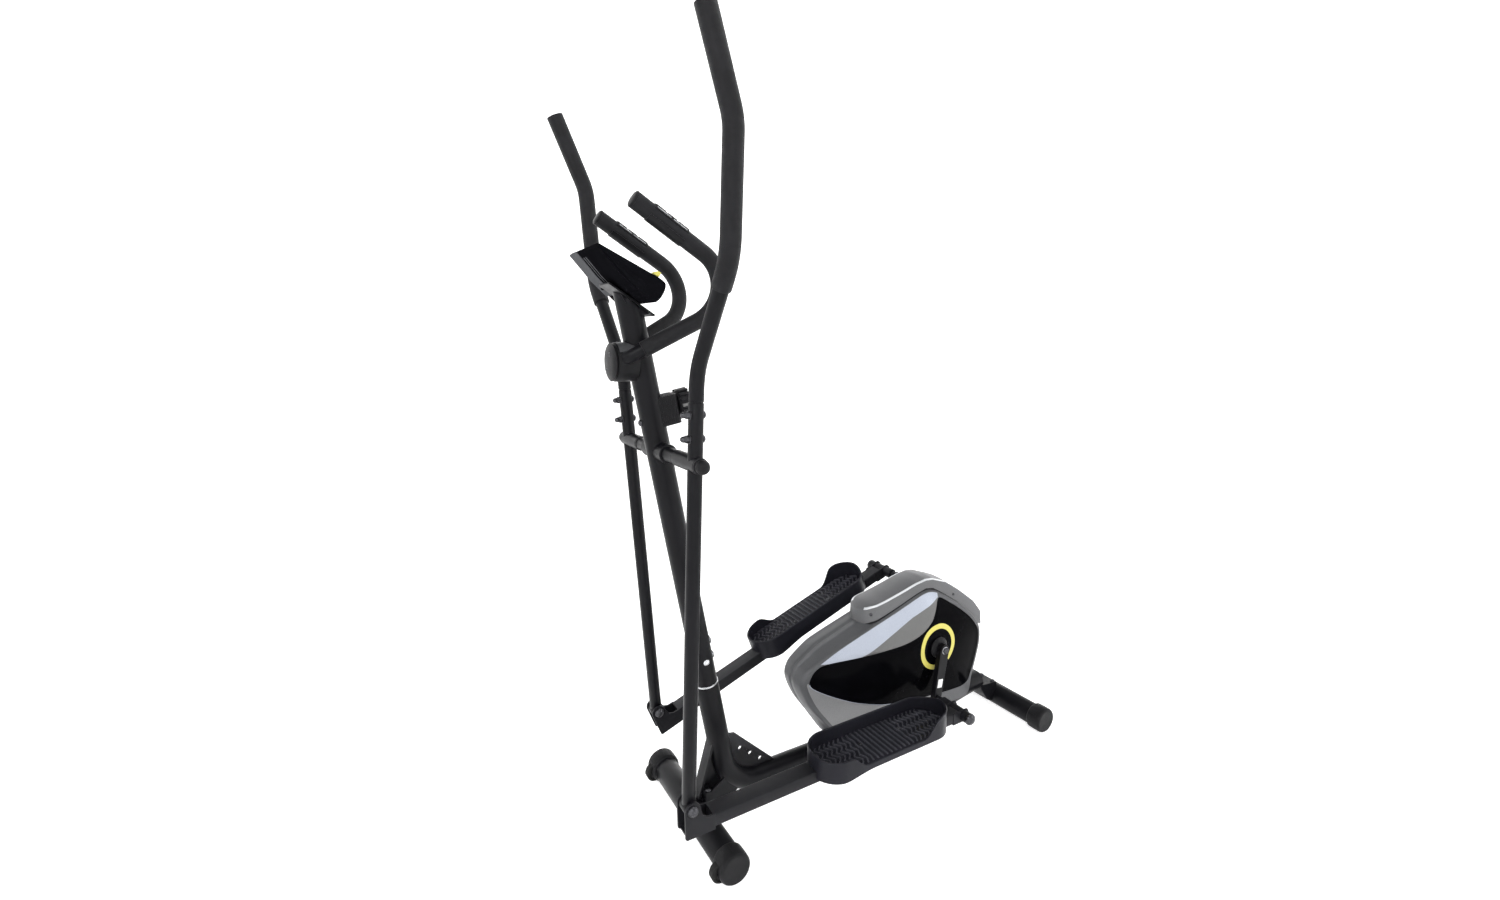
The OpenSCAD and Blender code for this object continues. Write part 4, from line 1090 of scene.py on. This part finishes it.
HALF = 80
SHOULDER = [(98, 329), (69, 345), (29, 359), (-19, 374), (-67, 389), (-117, 404), (-169, 421), (-215, 437),
            (-242, 441), (-270, 433), (-303, 414), (-353, 382), (-401, 344), (-433, 303), (-436, 262),
            (-427, 219), (-413, 170), (-401, 122), (-378, 106), (8, 106), (40, 120), (66, 157), (110, 214),
            (134, 262), (140, 287), (128, 312)]
PANEL_EDGE = [(98, 325), (120, 311), (132, 292), (134, 275), (106, 255), (59, 229), (5, 204), (-57, 184),
              (-116, 170), (-197, 158), (-296, 148), (-392, 151), (-407, 178), (-420, 219), (-429, 262),
              (-427, 299), (-396, 338), (-350, 375), (-302, 406), (-280, 420), (-267, 421), (-252, 393),
              (-234, 365), (-196, 340), (-144, 328), (-70, 325), (-11, 324)]
BAND_FOOT = [(-11, 324), (-60, 342), (-108, 362), (-172, 389), (-232, 408), (-258, 418), (-267, 421)]
RING_OUT, RING_IN = 62, 49
RING_GAP = (228, 252)
HUB_HOLE = 25
CORNER = 5
NOSE_CORNER = 15
RIM_WIDTH = 13
CROWN, CROWN_RISE = 3, 10
SHELL_WALL, PANEL_WALL, COVER_WALL = 2.4, 1.8, 2.2
RAY_GAP = 0.004


def cut_corners(loop, times=2, share=0.22):
    """Rounds a closed outline by cutting its corners."""
    for _ in range(times):
        rounded = []
        for (ax, az), (bx, bz) in zip(loop, loop[1:] + loop[:1]):
            rounded.append((ax + share * (bx - ax), az + share * (bz - az)))
            rounded.append((bx - share * (bx - ax), bz - share * (bz - az)))
        loop = rounded
    return loop


def reach(outline, angle, closed=True):
    """Distance from the crank's axis to an outline along a direction in side view; 0 if it is missed."""
    dx, dz = cos(angle), sin(angle)
    far = 0
    ends = outline[1:] + outline[:1] if closed else outline[1:]
    for (ax, az), (bx, bz) in zip(outline, ends):
        ax, az, ex, ez = ax - CRANK.x, az - CRANK.z, bx - ax, bz - az
        det = ex * dz - ez * dx
        if abs(det) < 1e-9:
            continue
        r, along = (ex * az - ez * ax) / det, (dx * az - dz * ax) / det
        if r > far and -1e-6 <= along <= 1 + 1e-6:
            far = r
    return far


def angle_of(point):
    return atan2(point[1] - CRANK.z, point[0] - CRANK.x)


def edge_half(x, z):
    """Half the housing's width at its shoulder edge."""
    return 52 + 9 * smooth_step(-x, 260, 410) - 9 * smooth_step(x, 60, 150) + 6 * smooth_step(-z, -170, -100)


def housing_rays():
    """Directions from the crank axis, close together where the outline is far away."""
    shoulder, panel = cut_corners(SHOULDER), cut_corners(PANEL_EDGE)
    angles = {round(angle_of(p), 4) for p in panel + BAND_FOOT}
    for a, b in zip(shoulder, shoulder[1:] + shoulder[:1]):
        steps = max(1, int(hypot(b[0] - a[0], b[1] - a[1]) / 9))
        for i in range(steps):
            point = (a[0] + (b[0] - a[0]) * i / steps, a[1] + (b[1] - a[1]) * i / steps)
            angles.add(round(angle_of(point), 4))
    rays = []
    for angle in sorted(angles | {round(radians(a - 360), 4) for a in RING_GAP}):
        if rays and angle - rays[-1][0] < RAY_GAP:
            continue
        far, edge = reach(shoulder, angle), reach(panel, angle)
        foot = max(edge, reach(BAND_FOOT, angle, False))
        rays.append((angle, far, min(foot, far - 1), min(edge, far - 1)))
    return rays


def on_ray(angle, r, y):
    return Vector((CRANK.x + r * cos(angle), y, CRANK.z + r * sin(angle)))


def flank(angle, far, r):
    """The side wall's distance from the middle, bulging towards the crank."""
    tip = on_ray(angle, far, 0)
    share = max(0.0, r / far - 0.15) / 0.85
    return HALF - (HALF - edge_half(tip.x, tip.z)) * share ** 1.7


def skin(piece, columns, pick, at=HERE, keep=None):
    """Faces between columns of points, one column for each ray, from the outside in."""
    for k, column in enumerate(columns):
        after = columns[(k + 1) % len(columns)]
        for i in range(len(column) - 1):
            quad = [column[i + 1], after[i + 1], after[i], column[i]]
            if keep and not keep(quad):
                continue
            piece.add((quad, [(0, 1, 2, 3)]), at, pick(k, i))


def housing_shell(name, rays):
    at = HERE if SIDES[name] > 0 else MIRROR
    lower, rear, tip = radians(-2), radians(-100), angle_of(PANEL_EDGE[0])
    crest = angle_of(BAND_FOOT[-1])
    columns = []
    for angle, far, foot, edge in rays:
        rim = on_ray(angle, far, 0)
        half = edge_half(rim.x, rim.z)
        high = CORNER + (NOSE_CORNER - CORNER) * smooth_step(rim.x, 10, 130)
        crown = CROWN + CROWN_RISE * smooth_step(rim.x, -130, -50) * (1 - smooth_step(rim.x, 40, 110))
        column = []
        for share in (0.003, 0.4, 0.75):
            column.append(on_ray(angle, far + high + crown * (1 - share ** 2), share * (half - RIM_WIDTH)))
        for turn in (0, 20, 40, 60, 78, 90):
            a = radians(turn)
            column.append(on_ray(angle, far + high * cos(a), half - RIM_WIDTH + RIM_WIDTH * sin(a)))
        for r in (far - 3, 0.5 * (far - 3 + foot + 1)):
            column.append(on_ray(angle, r, flank(angle, far, r)))
        bulge = 3.0 * smooth_step(foot - edge, 2, 50)
        column.append(on_ray(angle, foot + 1, flank(angle, far, foot + 1) + bulge))
        column.append(on_ray(angle, foot, flank(angle, far, foot) + bulge - 0.4))
        r = 0.5 * (foot + edge)
        column.append(on_ray(angle, r, flank(angle, far, r) + 0.6 * bulge))
        column.append(on_ray(angle, edge, flank(angle, far, edge)))
        column.append(on_ray(angle, edge, flank(angle, far, edge) - 2))
        column.append(on_ray(angle, edge - 12, flank(angle, far, edge) - 4))
        columns.append(column)

    def pick(k, i):
        angle = rays[k][0]
        if i < 8:
            return 0
        if tip <= angle < crest:
            return 1 if i < 11 else 2
        return 3 if rear < angle < lower else 0

    def keep(quad):
        return not all(p.y < 47 and (p.z < 101 or p.x < -300 and p.z < 126) for p in quad)

    piece = Piece("housing_" + name + "_moulded", "shell_dark", "shell_band", "shell_wedge", "shell_silver")
    skin(piece, columns, pick, at, keep)
    shell = piece.done("frame", "housing_grey", "housing_" + name, sharp=24, weld=0.02, outward=SIDES[name])
    thicken(shell, SHELL_WALL)


def thicken(obj, wall):
    solid = obj.modifiers.new("wall", "SOLIDIFY")
    solid.thickness = wall * MM
    solid.offset = -1


def side_panel(name, rays):
    at = HERE if SIDES[name] > 0 else MIRROR
    columns = []
    for angle, far, _, edge in rays:
        column = []
        for inset, lift in ((0.5, -1.6), (0.5, 0.2), (1.0, 0.6), (2.4, 0.6)):
            column.append(on_ray(angle, edge - inset, flank(angle, far, edge) + lift))
        for share in (0.8, 0.6, 0.4, 0.2, 0.0):
            r = RING_OUT + 3 + (edge - 2.4 - RING_OUT - 3) * share
            column.append(on_ray(angle, r, flank(angle, far, r) + 0.6))
        for r in (RING_OUT, RING_IN, 37, 30, HUB_HOLE + 1):
            column.append(on_ray(angle, r, flank(angle, far, r) + 0.6))
        column.append(on_ray(angle, HUB_HOLE, flank(angle, far, HUB_HOLE)))
        column.append(on_ray(angle, HUB_HOLE, HALF - 6))
        columns.append(column)
    gap_from, gap_to = (radians(a - 360) for a in RING_GAP)
    lower_to, lower_from = radians(-2.5), radians(-60)

    def pick(k, i):
        angle = rays[k][0] + 1e-4
        if i == 9:
            return 0 if gap_from <= angle < gap_to else 1
        return 2 if i in (1, 2) and lower_from < angle < lower_to else 0

    piece = Piece("side_panel_" + name + "_gloss", "panel", "yellow", "shell_band")
    skin(piece, columns, pick, at)
    panel = piece.done("frame", "panel_gloss", "side_panel_" + name, sharp=24, weld=0.02, outward=SIDES[name])
    thicken(panel, PANEL_WALL)


HUMP_TOP = [(-33, 423), (-60, 433), (-100, 440), (-150, 452), (-206, 467), (-238, 472), (-262, 470),
            (-311, 453), (-368, 416), (-425, 374), (-453, 342), (-458, 306)]
HUMP_FOOT = [(-31, 378), (-58, 389), (-97, 399), (-148, 415), (-200, 433), (-236, 443), (-262, 439),
             (-300, 417), (-350, 385), (-400, 345), (-428, 318), (-436, 300)]
HUMP_HALF = 45
LOBE_X = -78
# rows of the cover's upper side edge that are painted light grey as a highlight
HIGHLIGHT_ROWS = (4, 5)


def along_line(line, x):
    """Height of a line that runs to the rear, at a distance x."""
    for (ax, az), (bx, bz) in zip(line, line[1:]):
        if bx <= x <= ax:
            return az + (bz - az) * (x - ax) / (bx - ax)
    return line[0][1]


def housing_cover():
    sections = ((1.4, 0, 0.0), (0, 0.6, 0.0), (0.4, 6, 0.0), (1.2, 0, -6.0), (2.6, 0, -2.6), (5.0, 0, -0.7),
                (8.0, 0, 0), (16, 0, 1.2), (26, 0, 2.2), (36, 0, 2.8), (HUMP_HALF - 0.01, 0, 3))
    stations = []
    for (tx, tz), (ux, uz), (bx, bz), (cx, cz) in zip(HUMP_TOP, HUMP_TOP[1:], HUMP_FOOT, HUMP_FOOT[1:]):
        if ux > LOBE_X:
            continue
        for i in range(4):
            s = i / 4
            stations.append((tx + s * (ux - tx), tz + s * (uz - tz), bx + s * (cx - bx), bz + s * (cz - bz)))
    stations = [s for s in stations if s[0] < LOBE_X - 1]
    stations.append((*HUMP_TOP[-1], *HUMP_FOOT[-1]))
    rows = []
    for inset, rise, drop in sections:
        half = HUMP_HALF - inset
        on_foot = inset < 1 or inset == 1.4
        side = []
        for tx, tz, bx, bz in stations:
            side.append((bx, half, bz + rise) if on_foot else (tx, half, tz + drop))
        lobe = []
        for i in range(21):
            a = radians(90 - 180 * i / 20)
            x, y = LOBE_X + half * cos(a), half * sin(a)
            z = along_line(HUMP_FOOT, x) + rise if on_foot else along_line(HUMP_TOP, x) + drop
            lobe.append((x, y, z))
        other = [(x, -y, z) for x, y, z in side]
        rows.append([Vector(p) for p in side[::-1] + lobe + other])
    piece = Piece("housing_cover_moulded", "shell_hump", "dark_plastic", "shell_painted_highlight")
    # the two lowest bands of faces, from the cover's foot up to 6 mm, are dark plastic: a painted shadow of
    # the gap between the cover and the shell
    for i, (low, high) in enumerate(zip(rows, rows[1:])):
        for k in range(len(low) - 1):
            # faces of those rows on the cover's sides, forward of x = -330, get the painted highlight strip
            painted_highlight = i in HIGHLIGHT_ROWS and abs(low[k].y) > 25 and -330 < low[k].x
            piece.add(([low[k], low[k + 1], high[k + 1], high[k]], [(0, 1, 2, 3)]),
                      material=1 if i < 2 else 2 if painted_highlight else 0)
    cover = piece.done("frame", "housing_grey", "housing_cover", sharp=40, weld=0.05, outward=0)
    thicken(cover, COVER_WALL)

    piece = Piece("housing_screw_caps", "bolt_black")
    for x, z in ((-56, 414), (-340, 411)):
        cap = [(0, -1), (4, -1), (4, 0.2), (3.4, 0.6), (2.4, 0.6), (2.2, -0.4), (0, -0.4)]
        y = HUMP_HALF if x < LOBE_X else sqrt(HUMP_HALF ** 2 - (x - LOBE_X) ** 2)
        out = (0, 1, 0) if x < LOBE_X else ((x - LOBE_X) / HUMP_HALF, y / HUMP_HALF, 0)
        piece.both(lathe(cap, 24), facing((x, y, z), out))
    piece.done("frame", "plastic_black", "housing_screws")


def housing():
    rays = housing_rays()
    for name in SIDES:
        housing_shell(name, rays)
        side_panel(name, rays)
    housing_cover()


# ---------- stage ----------

CAMERA_AT = (0.9645, 1.1964, 1.0967)
CAMERA_LOOK = (-0.4945, -0.8518, -0.1729)
CAMERA_LENS = 15.49
FLOOR = [(0.01, 0), (14, 0), (17, 0.6), (19, 2), (20, 5), (20, 18)]
SOFTBOXES = [("key", (1.9, 1.6, 2.4), (0, 0, 0.6), 1.2, 20), ("fill", (-2.4, 2.2, 1.6), (0, 0, 0.4), 1.2, 9),
             ("top", (-0.3, 0.6, 3.0), (0, 0, 0), 1.6, 19)]


def stage():
    camera = bpy.data.cameras.new("camera")
    camera.lens = CAMERA_LENS
    camera.sensor_width = 36
    spot = bpy.data.objects.new("camera", camera)
    spot.location = CAMERA_AT
    spot.rotation_euler = Vector(CAMERA_LOOK).normalized().to_track_quat("-Z", "Y").to_euler()
    bpy.context.scene.collection.objects.link(spot)
    bpy.context.scene.camera = spot

    floor_mesh = bpy.data.meshes.new("floor")
    points, faces = loft([ring(r, z, 64) for r, z in FLOOR], caps=False)
    floor_mesh.from_pydata(points, [], faces)
    for face in floor_mesh.polygons:
        face.use_smooth = True
    pale = Surface("floor_pale", (0.86, 0.86, 0.86), 0.8).vary_color(1.5, 0.01)
    pale.set("Emission Color", (1, 1, 1, 1))
    pale.set("Emission Strength", 0.72)
    floor_mesh.materials.append(pale.material)
    floor = bpy.data.objects.new("floor", floor_mesh)
    bpy.context.scene.collection.objects.link(floor)

    world = bpy.data.worlds.new("studio")
    world.use_nodes = True
    sky = world.node_tree.nodes["Background"].inputs
    sky["Color"].default_value = (1, 1, 1, 1)
    sky["Strength"].default_value = 0.45
    bpy.context.scene.world = world
    for values in SOFTBOXES:
        softbox(*values)
    bpy.context.scene.view_settings.view_transform = "Standard"


def softbox(name, at, target, size, power):
    light = bpy.data.lights.new(name, "AREA")
    light.size = size
    light.energy = power
    lamp = bpy.data.objects.new(name, light)
    lamp.location = at
    lamp.rotation_euler = (Vector(target) - Vector(at)).to_track_quat("-Z", "Y").to_euler()
    bpy.context.scene.collection.objects.link(lamp)


stage()
main_frame()
stabilisers()
frame_bolts()
post()
axle()
fixed_handlebar()
clamp_cover()
console()
tension_control()
crank()
for name in SIDES:
    transport_wheel(name)
    swing_arm(name)
    pedal_bar(name)
    pedal(name)
housing()
carry_over()
